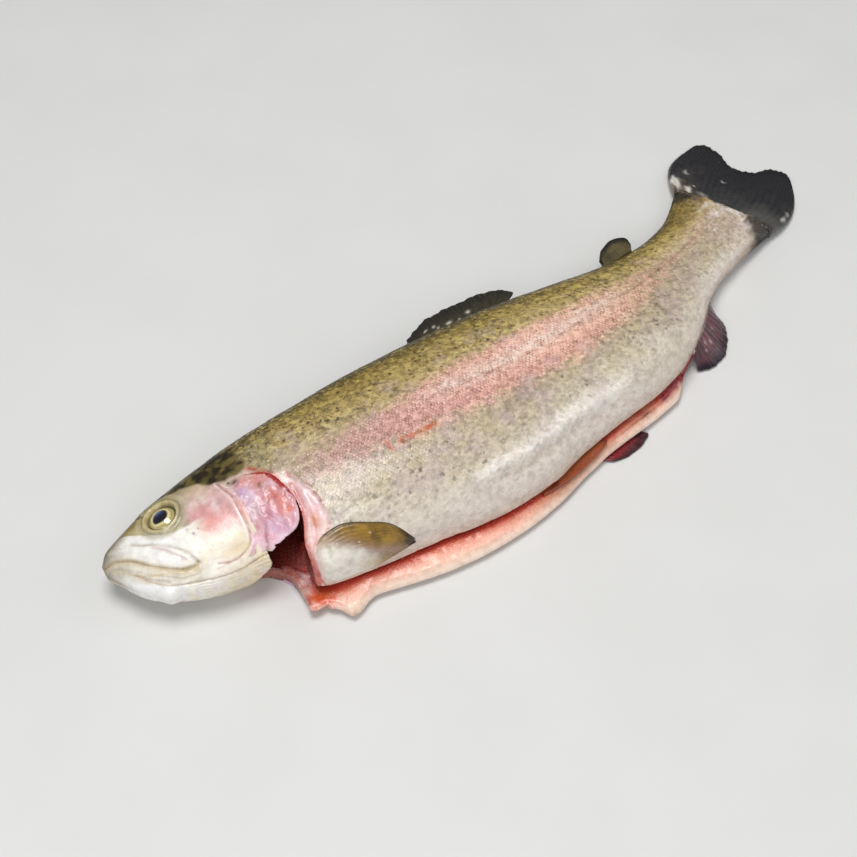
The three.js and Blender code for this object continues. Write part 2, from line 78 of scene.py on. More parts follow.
# station, back reach, upper lip reach, lower lip reach, height, mid height, top offset, upper lip height, lower lip height
TB = np.array([
[0,0.3,0.3,0.3,12.6,12.2,0,12.2,12.2],[1.5,4.2,4,4,16,12.2,0,12.2,12.2],[6,9.2,8,8,18.6,12.2,0.5,12.2,12.2],
[12,14.2,13.3,13.3,21,12.4,1,12.4,12.4],[18,18.2,17.0,17.0,22.8,12.6,1.5,12.6,12.6],[24,20.6,19.4,19.4,24.6,12.9,1.5,12.9,12.9],
[30,22.6,20.9,20.9,26.2,13.2,1.5,13.2,13.2],[36,24.4,21.7,21.7,27.6,13.6,1.5,13.6,13.6],[42,25.8,21.9,21.9,28.9,14,1.5,13.8,13.6],
[48,27.2,22.2,22.6,30,14.5,1.5,13.4,12.6],[54,28.4,25,30,31.2,15,1.5,12.6,8],[57,29,28,38.8,31.7,15.2,1.5,11.9,5.5],
[60,29.6,31,39.2,32.2,15.5,1.5,11.2,4.5],[64,30.6,33.6,38.8,32.9,15.8,1.5,10.4,4],[69,31.7,34.9,41,33.6,16.2,1.5,9.9,3.4],
[73.4,32.8,35.2,45.2,34.2,16.6,1.5,9.7,3],[77,33.5,35.1,44.2,34.7,16.8,1.5,9.6,3],[80.5,34.1,35,41.8,35,16.9,1.5,9.5,3],
[84,34.8,35,40.6,35.2,17,1.5,9.4,3],[96,36.8,34.8,42.3,35.8,17.2,1.5,9.3,3],[108,38.2,35.2,43.8,36,17.4,1.5,9.3,3],
[120,39.2,36.6,44.2,36,17.4,1.5,9.3,3],[132,39.6,37.2,43.6,36,17.4,1.5,9.3,3],[150,39.4,36.2,40.8,35.6,17.2,1.5,9.3,3],
[168,38,32.4,36.6,34.4,16.8,1.5,9.3,3],[186,35.4,30.9,34.8,32.4,15.8,1.5,9.3,3],[204,31.8,30.8,34.6,29.6,14.4,1.5,9.3,3.2],
[210,30.5,30.1,34.4,28.6,13.9,1.5,9.4,3.4],[213.5,29.7,29.8,32.6,28,13.6,1.4,9.4,4.0],[218,28.5,29.0,29.4,27,13.2,1.2,9.6,5.6],[228,26,26.4,26.6,24.6,12,1,10,7.6],[240,22.8,22,22,21.6,10.6,1,9.8,8.6],
[252,19.8,18,18,18.6,9.2,1,9,8.6],[264,17.4,16.8,16.8,16,8,1,8,8],[276,17,17.6,17.6,13.4,6.8,1,6.8,6.8],
[288,19,19.4,19.4,10.4,5.6,1,5.6,5.6],[300.4,22.5,21.5,21.5,7.4,4.4,1,4.4,4.4]], float)
def col(i, s): return pchip(TB[:, 0], TB[:, i], s)
def place(s, w, z):
    x, y, tx, ty = spine_frame(s); w = np.asarray(w, float)
    return np.stack(np.broadcast_arrays(x - ty*w, y + tx*w, z), -1)
def section(s, phi):
    s, phi = np.broadcast_arrays(np.asarray(s, float), np.asarray(phi, float))
    d, vl, vr, h, zm, wt, zL, zR = [col(i, s) for i in range(1, 9)]
    c = np.cos(phi); k = np.abs(np.sin(phi))**0.92; up = phi >= 0
    v = np.where(up, vl, vr); w = wt + np.where(c > 0, (d-wt)*c, (v+wt)*c)
    base = np.where(c > 0, zm, np.where(up, zL, zR)); bot = 2*zm - h - 0.6
    z = np.where(up, base+(h-base)*k, base-(base-bot)*k)
    return w, np.maximum(z, 0)
def skin(s, phi):
    w, z = section(s, phi); return place(s, w, z)
def skin_n(s, phi):
    s = np.asarray(s, float); phi = np.asarray(phi, float)
    a = skin(np.clip(s+.5, 0, LEN), phi) - skin(np.clip(s-.5, 0, LEN), phi); b = skin(s, phi+.02) - skin(s, phi-.02)
    n = np.cross(a, b); n /= np.maximum(np.linalg.norm(n, axis=-1, keepdims=True), 1e-9)
    out = skin(s, phi) - place(s, 0.0, col(5, s))
    return np.where((n*out).sum(-1, keepdims=True) < 0, -n, n)

# ------------------------------------------------------------------ noise
def vnoise(P, freq, seed):
    Q = np.asarray(P, float)*freq + 1000.0; I = np.floor(Q).astype(np.int64); F = Q - I; F = F*F*(3-2*F)
    def h(dx, dy, dz):
        n = (I[..., 0]+dx)*73856093 ^ (I[..., 1]+dy)*19349663 ^ (I[..., 2]+dz)*83492791 ^ (seed*7919+17)
        n = (n ^ (n >> 13)) * 1274126177 & 0x7fffffff; n = (n ^ (n >> 15)) * 668265263 & 0x7fffffff; n ^= n >> 13
        return (n & 0xffff)/32767.5 - 1.0
    x, y, z = F[..., 0], F[..., 1], F[..., 2]
    c00 = h(0,0,0)*(1-x)+h(1,0,0)*x; c10 = h(0,1,0)*(1-x)+h(1,1,0)*x
    c01 = h(0,0,1)*(1-x)+h(1,0,1)*x; c11 = h(0,1,1)*(1-x)+h(1,1,1)*x
    return (c00*(1-y)+c10*y)*(1-z) + (c01*(1-y)+c11*y)*z
def fbm(P, freq, seed, octaves=3):
    t, a, n = 0.0, 1.0, 0.0
    for o in range(octaves):
        t = t + a*vnoise(P, freq*2**o, seed+o*31); n += a; a *= .5
    return t/n

# ------------------------------------------------------------------ meshes
def lin(c):
    c = np.asarray(c, float)/255.0
    return np.where(c <= .04045, c/12.92, ((c+.055)/1.055)**2.4)
def make(name, V, F, colors=None, vectors=None, smooth=True, material=None):
    """V in mm in the drawing frame, F a list or array of faces."""
    me = bpy.data.meshes.new(name)
    P = (np.asarray(V, float) + SHIFT)/1000.0
    me.from_pydata([], [], [])
    me.vertices.add(len(P)); me.vertices.foreach_set("co", P.astype(np.float32).ravel())
    F = np.asarray(F); n, k = F.shape
    me.loops.add(n*k); me.loops.foreach_set("vertex_index", F.astype(np.int32).ravel())
    me.polygons.add(n); me.polygons.foreach_set("loop_start", (np.arange(n)*k).astype(np.int32))
    me.update(calc_edges=True); me.validate()
    if smooth: me.polygons.foreach_set("use_smooth", np.ones(len(me.polygons), bool))
    ob = bpy.data.objects.new(name, me); bpy.context.scene.collection.objects.link(ob)
    paint(ob, colors, vectors)
    if material: me.materials.append(material)
    return ob
def paint(ob, colors=None, vectors=None):
    me = ob.data
    for nm, a in (colors or {}).items():
        at = me.attributes.get(nm) or me.attributes.new(nm, "FLOAT_COLOR", "POINT")
        a = np.asarray(a, float); a = np.concatenate([a, np.ones((len(a), 1))], 1) if a.shape[1] == 3 else a
        at.data.foreach_set("color", a.astype(np.float32).ravel())
    for nm, a in (vectors or {}).items():
        at = me.attributes.get(nm) or me.attributes.new(nm, "FLOAT_VECTOR", "POINT")
        at.data.foreach_set("vector", np.asarray(a, np.float32).ravel())
def weld(V, F, tol=1e-4):
    key = np.round(V/tol).astype(np.int64)
    _, first, inv = np.unique(key, axis=0, return_index=True, return_inverse=True); inv = inv.ravel()
    G = inv[F]; tris = []
    if G.shape[1] == 4:
        T = np.concatenate([G[:, [0, 1, 2]], G[:, [0, 2, 3]]])
    else: T = G
    ok = (T[:, 0] != T[:, 1]) & (T[:, 1] != T[:, 2]) & (T[:, 0] != T[:, 2])
    return V[first], T[ok], first
def grid_faces(r, c, wrap=False, base=0):
    i = np.arange(r-1)[:, None]; j = np.arange(c if wrap else c-1)[None, :]
    a = i*c + j; b = i*c + (j+1) % c
    return (np.stack([a, b, b+c, a+c], -1).reshape(-1, 4)) + base
def loft_solid(R):
    """R: (rings, points, 3) closed rings -> closed triangle solid facing out."""
    r, c, _ = R.shape; V = R.reshape(-1, 3); F = grid_faces(r, c, True)
    T = np.concatenate([F[:, [0, 1, 2]], F[:, [0, 2, 3]]])
    m0, m1 = R[0].mean(0), R[-1].mean(0); V = np.concatenate([V, [m0, m1]]); n = r*c
    j = np.arange(c); k = (j+1) % c
    T = np.concatenate([T, np.stack([np.full(c, n), k, j], 1), np.stack([np.full(c, n+1), (r-1)*c+j, (r-1)*c+k], 1)])
    V, T, _ = weld(V, T)
    return orient(V, T)
def orient(V, T):
    a, b, c = V[T[:, 0]], V[T[:, 1]], V[T[:, 2]]
    if np.einsum("ij,ij->i", a, np.cross(b, c)).sum() < 0: T = T[:, ::-1]
    return V, T
def chaikin(P, n=2):
    P = np.asarray(P, float)
    for _ in range(n):
        Q = np.roll(P, -1, 0); P = np.stack([.75*P+.25*Q, .25*P+.75*Q], 1).reshape(-1, 2)
    return P
def boolean(ob, cutter, op="DIFFERENCE"):
    m = ob.modifiers.new("cut", "BOOLEAN"); m.operation = op; m.solver = "MANIFOLD"; m.object = cutter
    dg = bpy.context.evaluated_depsgraph_get(); me = bpy.data.meshes.new_from_object(ob.evaluated_get(dg))
    old = ob.data; ob.modifiers.clear(); ob.data = me; bpy.data.meshes.remove(old)
    bpy.data.objects.remove(cutter)

# ------------------------------------------------------------------ lines on the head, (station, angle in degrees)
MOUTH = [(0.6,150),(2.3,120.3),(5.3,111.5),(9,112.6),(12.3,117.3),(15.8,124.2),(18.6,128),(22.1,133.1),(25.6,136.7),(28.1,136.7),(29.8,133.5)]
MAXTOP = [(8,80),(10,84.5),(14.6,95.5),(18.6,100.6),(22.3,107.1),(26.1,115.8),(28.4,124.8),(29.8,133.5)]
MAXIN = [(17.6,102.6),(21.1,109.8),(23.6,117),(26.3,126)]
PREOP = [(45.7,73.7),(47,83.6),(48,92.5),(48.1,103),(48.2,111.6),(48.2,121.2),(47.7,130.1),(47,136.4),(45.2,141.8),(42.4,146),(39.7,147),(35.7,144)]
JAW = [(51,153.4),(47,156.7),(42.9,159.7),(38.4,160.6),(33.4,158.6),(28.6,156.8),(23.1,156.1),(18.6,153.7),(14.8,148.6),(11.3,140.3)]
LOWLIP = [(3,140.9),(6.3,133.4),(9.5,136.1),(12.8,141.2),(16.1,146.3),(20,149)]
CHEEK = [(27.4,140),(31.4,142.1),(35.4,143.3)]
WHITE_EDGE = np.array([(0,95),(1.8,69.8),(3.5,52),(5.5,48),(8.3,55.8),(12.3,73.4),(15.8,83.9),(18.1,87.1),(21.3,92.5),(25.4,96.4),(27.1,97),(29.1,96.7),(31.6,96.1),(34,95.2),(70,95)], float)
CROWN = np.array([(0,14),(12,22),(22,33),(30.4,48),(34.9,53),(38.7,60),(43.9,73),(48.2,77),(52.5,77),(56.5,76),(60.3,70),(66,46),(70,34)], float)
ORBIT = (23.5, 70.5)
GFRONT = np.array([(67.6,96),(67.3,103.6),(67.5,112.5),(67.3,118.8),(65.8,126.3),(63.8,134.3),(62.8,143.9),(62.8,152.2),(63.3,161.2),(63.5,171.9),(64.2,180)], float)
GBACK = np.array([(68,88),(69,95),(70.3,101.2),(72.1,106.8),(73.6,112.8),(74.6,117.9),(75.1,124.5),(74.8,130.7),(73.3,135.2),(70.8,138.2),(67.5,141),(65.6,146),(65.2,155),(65.4,166),(66.5,180)], float)
RIDGE = [(118,145),(124,143),(132,141),(144,141),(157,141.5),(173,143.6),(183,144.5),(192,147)]
LATL = np.array([(66,97),(72.3,96.1),(87.9,92.8),(104.2,89.5),(124,87.5),(137.6,88),(152.9,90.4),(171.2,91),(192.3,89.2),(217.4,87.5),(249.8,88.3),(271.9,91),(290,92)], float)
def curve3(points, side, step=.35, lift=0.0):
    p = np.array(points, float); t = np.concatenate([[0], np.cumsum(np.hypot(np.diff(p[:, 0]), np.diff(p[:, 1])*.3))])
    n = max(8, int(t[-1]/step)); u = np.linspace(0, t[-1], n)
    s, f = pchip(t, p[:, 0], u), pchip(t, p[:, 1], u)
    return skin(s, side*f*D2R)
def dist_to(P, C):
    out = np.full(len(P), 1e9)
    for i in range(0, len(C), 40):
        d = ((P[:, None, :] - C[None, i:i+40, :])**2).sum(-1).min(1); out = np.minimum(out, d)
    return np.sqrt(out)

# ------------------------------------------------------------------ body skin grid
S = np.concatenate([[0, .25, .6, 1.0], np.arange(1.5, 70, .5), np.linspace(70, LEN, 206)])
NL, NR = 132, 78
# finer towards the flank that faces up
tL = np.linspace(0, 1, NL+1); PL = np.pi*tL
tR = np.linspace(0, 1, NR+1)[:-1]; PR = -np.pi + np.pi*tR
rows = len(S)
BL, BR = skin(S[:, None], PL[None, :]), skin(S[:, None], PR[None, :])
vl, vr, zL, zR = [col(i, S)[:, None] for i in (2, 3, 7, 8)]
kk = np.clip((zL-zR)/6.4, 0, 1)
lipL = np.concatenate([-vl, zL], 1); lipR = np.concatenate([-vr, zR], 1)
c1 = lipR + np.concatenate([.9*kk, 1.5*kk], 1); c2 = lipR + np.concatenate([2.6*kk, 2.2*kk], 1)
mids = [lipL*.75+c2*.25, lipL*.4+c2*.6, c2, c1]
BM = np.stack([place(S, m[:, 0], m[:, 1]) for m in mids], 1)
def grid_normals(B):
    du = np.gradient(B, axis=0); dv = np.gradient(B, axis=1); n = np.cross(dv, du)
    n /= np.maximum(np.linalg.norm(n, axis=-1, keepdims=True), 1e-9)
    return n
NLn = grid_normals(BL); NRn = grid_normals(BR)
if NLn[60, NL//2, 2] < 0: NLn = -NLn
if NRn[60, NR//2, 2] > 0: NRn = -NRn
sL = np.repeat(S[:, None], NL+1, 1); fL = np.repeat(PL[None], rows, 0)/D2R
sR = np.repeat(S[:, None], NR, 1); fR = -np.repeat(PR[None], rows, 0)/D2R
FEAT = {}
def displacement(B, s, f, side):
    """Offset along the normal, mm; also keeps the distance fields used by the paint."""
    shape = s.shape; P = B.reshape(-1, 3); s = s.ravel(); f = f.ravel(); d = np.zeros(len(P)); keep = {}
    head = s < 54
    def near(name, pts, mask):
        out = np.full(len(P), 99.0); out[mask] = dist_to(P[mask], curve3(pts, side)); keep[name] = out; return out
    mouth = near("mouth", MOUTH, head); mtop = near("mtop", MAXTOP, head); minn = near("min", MAXIN, head)
    pre = near("pre", PREOP, head); jaw = near("jaw", JAW, head); low_ = near("low", LOWLIP, head); near("redl", [(57.5,77),(60.0,83),(62.9,90),(65.2,97),(66.3,104),(66.9,112)], (s > 50) & (s < 76)); chk = near("cheek", CHEEK, head)
    if side < 0:
        # shallow beds on the resting side for the right gill cover and the right pectoral fin
        ca = np.interp(f, [76, 80, 84.5, 91, 98, 104.6, 110.4, 116.5, 122.6, 128.2], [46.2, 47.0, 48.0, 48.4, 48.6, 48.7, 48.7, 48.5, 48.3, 48.0])
        cb = np.interp(f, [76, 80, 84.5, 91, 98, 104.6, 110.4, 116.5, 122.6, 128.2], [50.0, 55.4, 59.3, 62.4, 64.1, 65.5, 66.1, 65.8, 64.8, 62.4])
        bed = 1.0*sm(s, ca+.1, ca+.7)*(1-sm(s, cb+.8, cb+1.5))*sm(f, 75.5, 77.5)*(1-sm(f, 127.5, 129.5))
        x_, y_, tx_, ty_ = spine_frame(s); wq = -(P[:, 0]-x_)*ty_ + (P[:, 1]-y_)*tx_
        wa = np.interp(s, [66, 67, 90, 97, 99], [-33.4, -33.8, -35.8, -34.6, -32.5]); wb = np.interp(s, [66, 67, 80, 88, 95, 98.3, 99.2], [-26.4, -26.2, -21.6, -22.4, -26.2, -30.8, -32.5])
        bed += 1.6*sm(wq, wa-.6, wa+.1)*(1-sm(wq, wb-.1, wb+.6))*sm(s, 65.6, 66.4)*(1-sm(s, 98.6, 99.4))
    fm = np.interp(s, [p[0] for p in MOUTH], [p[1] for p in MOUTH])
    inm = (s < 30.5)
    above = inm & (f < fm)
    brk = .55+.75*np.clip(fbm(P, 1/3, 91)+.3, 0, 1)
    d += np.where(head, -.85*np.exp(-(mouth/.5)**2)*brk - .35*np.exp(-(mouth/1.3)**2), 0)
    d += .55*np.exp(-(((s-14.5)/4.5)**2))*sm(f, 148, 172)*head + 1.25*np.exp(-((s-19.6)/1.9)**2)*sm(f, 150, 174)*head - .55*np.exp(-((s-22.9)/.8)**2)*sm(f, 150, 172)*head
    crs = np.where(head & (s < 30), np.sin(mouth*3.3 + 2.0*fbm(P, 1/5, 92)), 0)
    d += .10*crs*np.exp(-((mouth-2.6)/2.0)**2)*sm(s, 3, 9)
    d += np.where(above, .55*np.exp(-mouth/2.2)*sm(s, 1, 6), 0)
    d += np.where(inm & ~above, .25*np.exp(-((mouth-1.6)/1.1)**2), 0)
    d += -.55*np.exp(-(mtop/.6)**2)*sm(s, 7, 11) - .3*np.exp(-(minn/.45)**2)
    d += -.3*np.exp(-(low_/.7)**2) - .2*np.exp(-(chk/.6)**2)
    fj = np.interp(s, [p[0] for p in JAW[::-1]], [p[1] for p in JAW[::-1]])
    d += np.where(head, -.45*np.exp(-(jaw/.5)**2)*(.5+.8*np.clip(fbm(P, 1/4, 93)+.3, 0, 1)), 0) + np.where(head & (f < fj), .35*np.exp(-jaw/1.8), 0)
    # gill-ray folds under the jaw
    t = (f - fj)/np.maximum(182-fj, 1)
    rays = np.where((s > 20) & (s < 53) & (t > 0), sm(s, 20, 28), 0)
    tw = t*2*np.pi*5.0 + 2.8*fbm(P, 1/6, 94)
    keep["rays"] = rays*(.5-.5*np.cos(tw))
    d += -.26*rays*(.5+.5*np.cos(tw))**3*np.clip(.6+fbm(P, 1/4, 97), 0, 1)
    # ridge in front of the gill cover
    fp = np.interp(f, [73.7, 83.6, 92.5, 103, 111.6, 121.2, 130.1, 136.4, 141.8, 146], [45.7, 47, 48, 48.1, 48.2, 48.2, 47.7, 47, 45.2, 42.4])
    front = (s < fp) & head & (f > 70) & (f < 148)
    d += np.where(front, .45*np.exp(-pre/1.6), 0) - np.where(head & (f > 70) & (f < 150), .5*np.exp(-(pre/.5)**2), 0)
    # eye socket
    c = skin(ORBIT[0], side*ORBIT[1]*D2R); n0 = skin_n(ORBIT[0], side*ORBIT[1]*D2R)
    v = P - c; r = np.linalg.norm(v - (v@n0)[:, None]*n0, axis=1); r = np.where(head & (np.linalg.norm(v, axis=1) < 14), r, 99)
    keep["eye"] = r
    d += .75*np.exp(-((r-6.3)/.8)**2) - .3*np.exp(-((r-7.9)/.6)**2) + .22*np.exp(-((r-9.3)/.7)**2) - 2.6*(1-sm(r, 4.6, 6.0))
    # nostrils
    for (ns, nf, nr, na) in ((15.6, 44, .8, .9), (17.3, 46, .65, .8)):
        q = np.linalg.norm(P - skin(ns, side*nf*D2R), axis=1)
        d += -na*np.exp(-(q/nr)**2) + .25*np.exp(-((q-1.5)/.5)**2)
        keep["nose"] = np.minimum(keep.get("nose", 99), q)
    # shoulder flesh behind the gill opening, a step below the skin
    gf = np.interp(f, GFRONT[:, 1], GFRONT[:, 0]); gb = np.interp(f, GBACK[:, 1], GBACK[:, 0])
    gir = (f > 90) & (s > gf-9) & (s < gb)
    rag = 1.0*fbm(P, .5, 5)
    edge = gb + rag - s
    keep["gird"] = np.where((f > 88) & (s > gf-9), np.clip(edge/1.2+.5, 0, 1), 0)*sm(f, 90, 97)
    d += -.75*keep["gird"]*sm(edge, 0, 1.2) + np.where(f > 97, .3*np.exp(-(edge/.9)**2), 0)*(s > 60)*(s < 80)
    d += .45*np.exp(-(((s-70)/2.2)**2 + ((f-115)/9)**2))*keep["gird"] - .5*np.exp(-(((s-69)/1.0)**2 + ((f-128)/10)**2))
    mid_ = (gf+gb)/2
    d += keep["gird"]*(.55*np.exp(-((s-mid_-.8*fbm(P, 1/6, 95))/1.3)**2) - .45*np.exp(-((s-gf-.6)/.8)**2)*(s > gf-2))*sm(f, 100, 108)
    d += .22*keep["gird"]*fbm(P, 1/1.8, 96)
    # belly fold and the hollow below it
    rdg = np.full(len(P), 99.0); tr = (s > 100) & (s < 210)
    rdg[tr] = dist_to(P[tr], curve3(RIDGE, side, 1.0)); keep["ridge"] = rdg
    fr = np.interp(s, [p[0] for p in RIDGE], [p[1] for p in RIDGE])
    amp = sm(s, 112, 135)*(1-sm(s, 178, 200))
    d += amp*(.85*np.exp(-(rdg/2.0)**2) - np.where(f > fr, .65*np.exp(-((rdg-5.0)/2.6)**2), .25*np.exp(-((rdg-5)/3)**2)))
    # lateral line
    ll = np.interp(s, LATL[:, 0], LATL[:, 1]); w = np.abs(f-ll)*D2R*col(4, s)*.9
    keep["lat"] = np.where(s > 68, w, 99)
    d += np.where(s > 68, -.14*np.exp(-(w/.45)**2), 0)
    # slow unevenness of soft flesh
    d += .32*fbm(P, 1/26, 11)*sm(s, 40, 70) + .10*fbm(P, 1/6, 21) + .06*fbm(P, 1/2.2, 31)*sm(s, 30, 60)
    if side < 0:
        flat = np.clip(1 - P[:, 2]/2.0, 0, 1); d = d*(1-flat) - bed
    for k_ in keep: keep[k_] = np.asarray(keep[k_]).reshape(shape)
    return d.reshape(shape), keep
dL, KL = displacement(BL, sL, fL, 1); dR, KR = displacement(BR, sR, fR, -1)
endfade = (sm(S, 0, 1.5)*(1-sm(S, LEN-3, LEN)))[:, None]
edgeL = 1 - sm(fL, 172, 180)*.85*np.clip(kk*3, 0, 1)
VL = BL + NLn*(dL*endfade*edgeL)[..., None]; VR = BR + NRn*(dR*endfade)[..., None]
VR[:, 0] = np.where(kk < 1e-6, VL[:, -1], VR[:, 0])
VL[..., 2] = np.maximum(VL[..., 2], 0); VR[..., 2] = np.maximum(VR[..., 2], 0)
BMn = BM + .25*fbm(BM, 1/4, 77)[..., None]*np.array([.3, .8, .3])*kk[..., None]
BMn = np.where(kk[..., None] < 1e-6, VL[:, -1:, :], BMn)
RING = np.concatenate([VL, BMn, VR], 1)
# a bump helper, and the station, angle and side of every grid vertex
def bump(P, c, r, a): return a*np.exp(-((np.linalg.norm(P-np.array(c), axis=-1))/r)**2)
NOF = RING.shape[1]
def cat(a, b, fill):
    return np.concatenate([a, np.full((rows, 4), fill), b], 1).ravel()
G_s = np.concatenate([sL, np.repeat(S[:, None], 4, 1), sR], 1).ravel()
G_f = np.concatenate([fL, np.full((rows, 4), 180.0), fR], 1).ravel()
G_side = np.concatenate([np.ones_like(sL), np.zeros((rows, 4)), -np.ones_like(sR)], 1).ravel()
GK = {k_: cat(KL[k_], KR[k_], 99.0 if k_ not in ("gird", "rays") else 0.0) for k_ in KL}
# arc length across the section, signed
def arc(B):
    st = np.linalg.norm(np.diff(B, axis=1), axis=-1); return np.concatenate([np.zeros((rows, 1)), np.cumsum(st, 1)], 1)
aL = arc(BL); aR0 = arc(np.concatenate([BR, BL[:, :1]], 1)); aR = -(aR0[:, -1:] - aR0[:, :-1])
G_a = np.concatenate([aL, np.repeat(aL[:, -1:], 4, 1), aR], 1).ravel()

V0 = RING.reshape(-1, 3); F0 = grid_faces(rows, NOF, True)
T0 = np.concatenate([F0[:, [0, 1, 2]], F0[:, [0, 2, 3]]]); n0 = len(V0)
V0 = np.concatenate([V0, [RING[0].mean(0), RING[-1].mean(0)]])
j = np.arange(NOF); k = (j+1) % NOF
T0 = np.concatenate([T0, np.stack([np.full(NOF, n0), k, j], 1), np.stack([np.full(NOF, n0+1), (rows-1)*NOF+j, (rows-1)*NOF+k], 1)])
V1, T1, first = weld(V0, T0); V1, T1 = orient(V1, T1)

# ------------------------------------------------------------------ cutters: cavity, slit, gill chamber, throat
def cavity_ring(s):
    e = min(float(sm(s, 62, 88)), 1-float(sm(s, 182, 226))); vl_ = float(col(2, s)); h = float(col(4, s)); f = 5.4
    wd = -13 + 21*e; up = lambda q: f + (q*h - f)*(.45+.55*e)
    pts = [(-vl_*.955, f+.9), (-vl_*.8, f+.3), (-vl_*.5, f), (-vl_*.25, f), (wd-10, f+.1), (wd-3, f+2.2), (wd, up(.34)), (wd-4, up(.5)),
           (-vl_*.05-6*(1-e), up(.59)), (-vl_*.36, up(.62)), (-vl_*.62, up(.59)), (-vl_*.82, up(.47)), (-vl_*.93, min(up(.34), 12.0)), (-vl_*.955, 8.8)]
    P = np.array(pts); Q = chaikin(P, 2)
    return place(np.full(len(Q), s), Q[:, 0], Q[:, 1])
R = np.stack([cavity_ring(s) for s in np.linspace(70, 214, 110)])
R = R + (.5*fbm(R, 1/7, 41) + .25*fbm(R, 1/2.5, 43))[..., None]*np.array([.2, .5, .8])
cavV, cavT = loft_solid(R)
def slit_ring(s):
    vl_, vr_ = float(col(2, s)), float(col(3, s)); q = float(sm(s, 203, 217)); g = float(sm(s, 60, 84))
    inner = -vl_ + 9 - 4*q
    fl = 5.0 + 1.0*q; ro = 9.25 - .5*q
    # floor rises a little under the lip, falls away at the outer edge of the flap
    pts = [(-vr_-9, fl-1.2), (-vr_-1, fl-1.0), (-vr_+.8, fl-.35), (-vr_+2.4, fl+.25), (-vl_-.6, fl+1.1*g), (-vl_+1.5, fl+1.6*g), (inner-1, fl+.6), (inner, fl+1),
           (inner, ro-.6), (inner-.5, ro), (-vl_+2, ro+.1), (-vl_+.9, ro+.35), (-vl_-.2, ro+1.0), (-vr_-9, ro+1.6)]
    P = np.array(pts)
    d_ = np.linspace(0, 1, 5)[:-1]; Q = np.concatenate([P[i]+(P[(i+1) % len(P)]-P[i])*d_[:, None] for i in range(len(P))])
    return place(np.full(len(Q), s), Q[:, 0], Q[:, 1])
R = np.stack([slit_ring(s) for s in np.linspace(55, 217.5, 190)])
R = R + (.35*fbm(R, 1/6, 51) + .18*fbm(R, 1/2.0, 53))[..., None]*np.array([.1, .25, .9])
sliV, sliT = loft_solid(R)
CHAMBER = [(50.4,0.5),(57,0.9),(62.6,0.4),(65.4,-4.5),(66.9,-10.5),(66.9,-15.9),(65.6,-19.5),(63.7,-23),(62.8,-26.4),(62.8,-29.5),(63.2,-34),(63.4,-52),(52.2,-52),(51.8,-30),(51.2,-22.6),(50.2,-16),(49.8,-8)]
THROAT = [(47.5,-27),(50.4,-22.9),(52.4,-21.1),(55,-20.6),(57.0,-22.2),(57.9,-25.5),(57.7,-30),(58.1,-33),(57.2,-36),(57.0,-39.5),(57.6,-52),(40,-52)]
def wall_solid(outline, z0, z1, nz, seed, amp, under=0.0):
    Q = chaikin(outline, 2); Zs = np.linspace(z0, z1, nz)
    g = lambda z: under*float(np.interp(z, [5, 8, 10, 13, 15, 17], [7.2, 6.2, 5.0, 3.1, 1.1, 0])); h = lambda z: under*float(np.interp(z, [8, 14], [4.2, 0]))
    R = np.stack([place(Q[:, 0] - g(z)*(1-sm(Q[:, 0], 52.5, 57)), Q[:, 1] + h(z)*(1-sm(Q[:, 0], 54, 57.5))*sm(Q[:, 1], -26, -23), z) for z in Zs])
    R = R + (amp*fbm(R, 1/4, seed, 4))[..., None]*np.array([.8, .8, .5])
    return loft_solid(R)
chaV, chaT = wall_solid(CHAMBER, 7.4, 52, 80, 61, .7)
thrV, thrT = wall_solid(THROAT, -5, 52, 80, 71, .6, under=1.0)

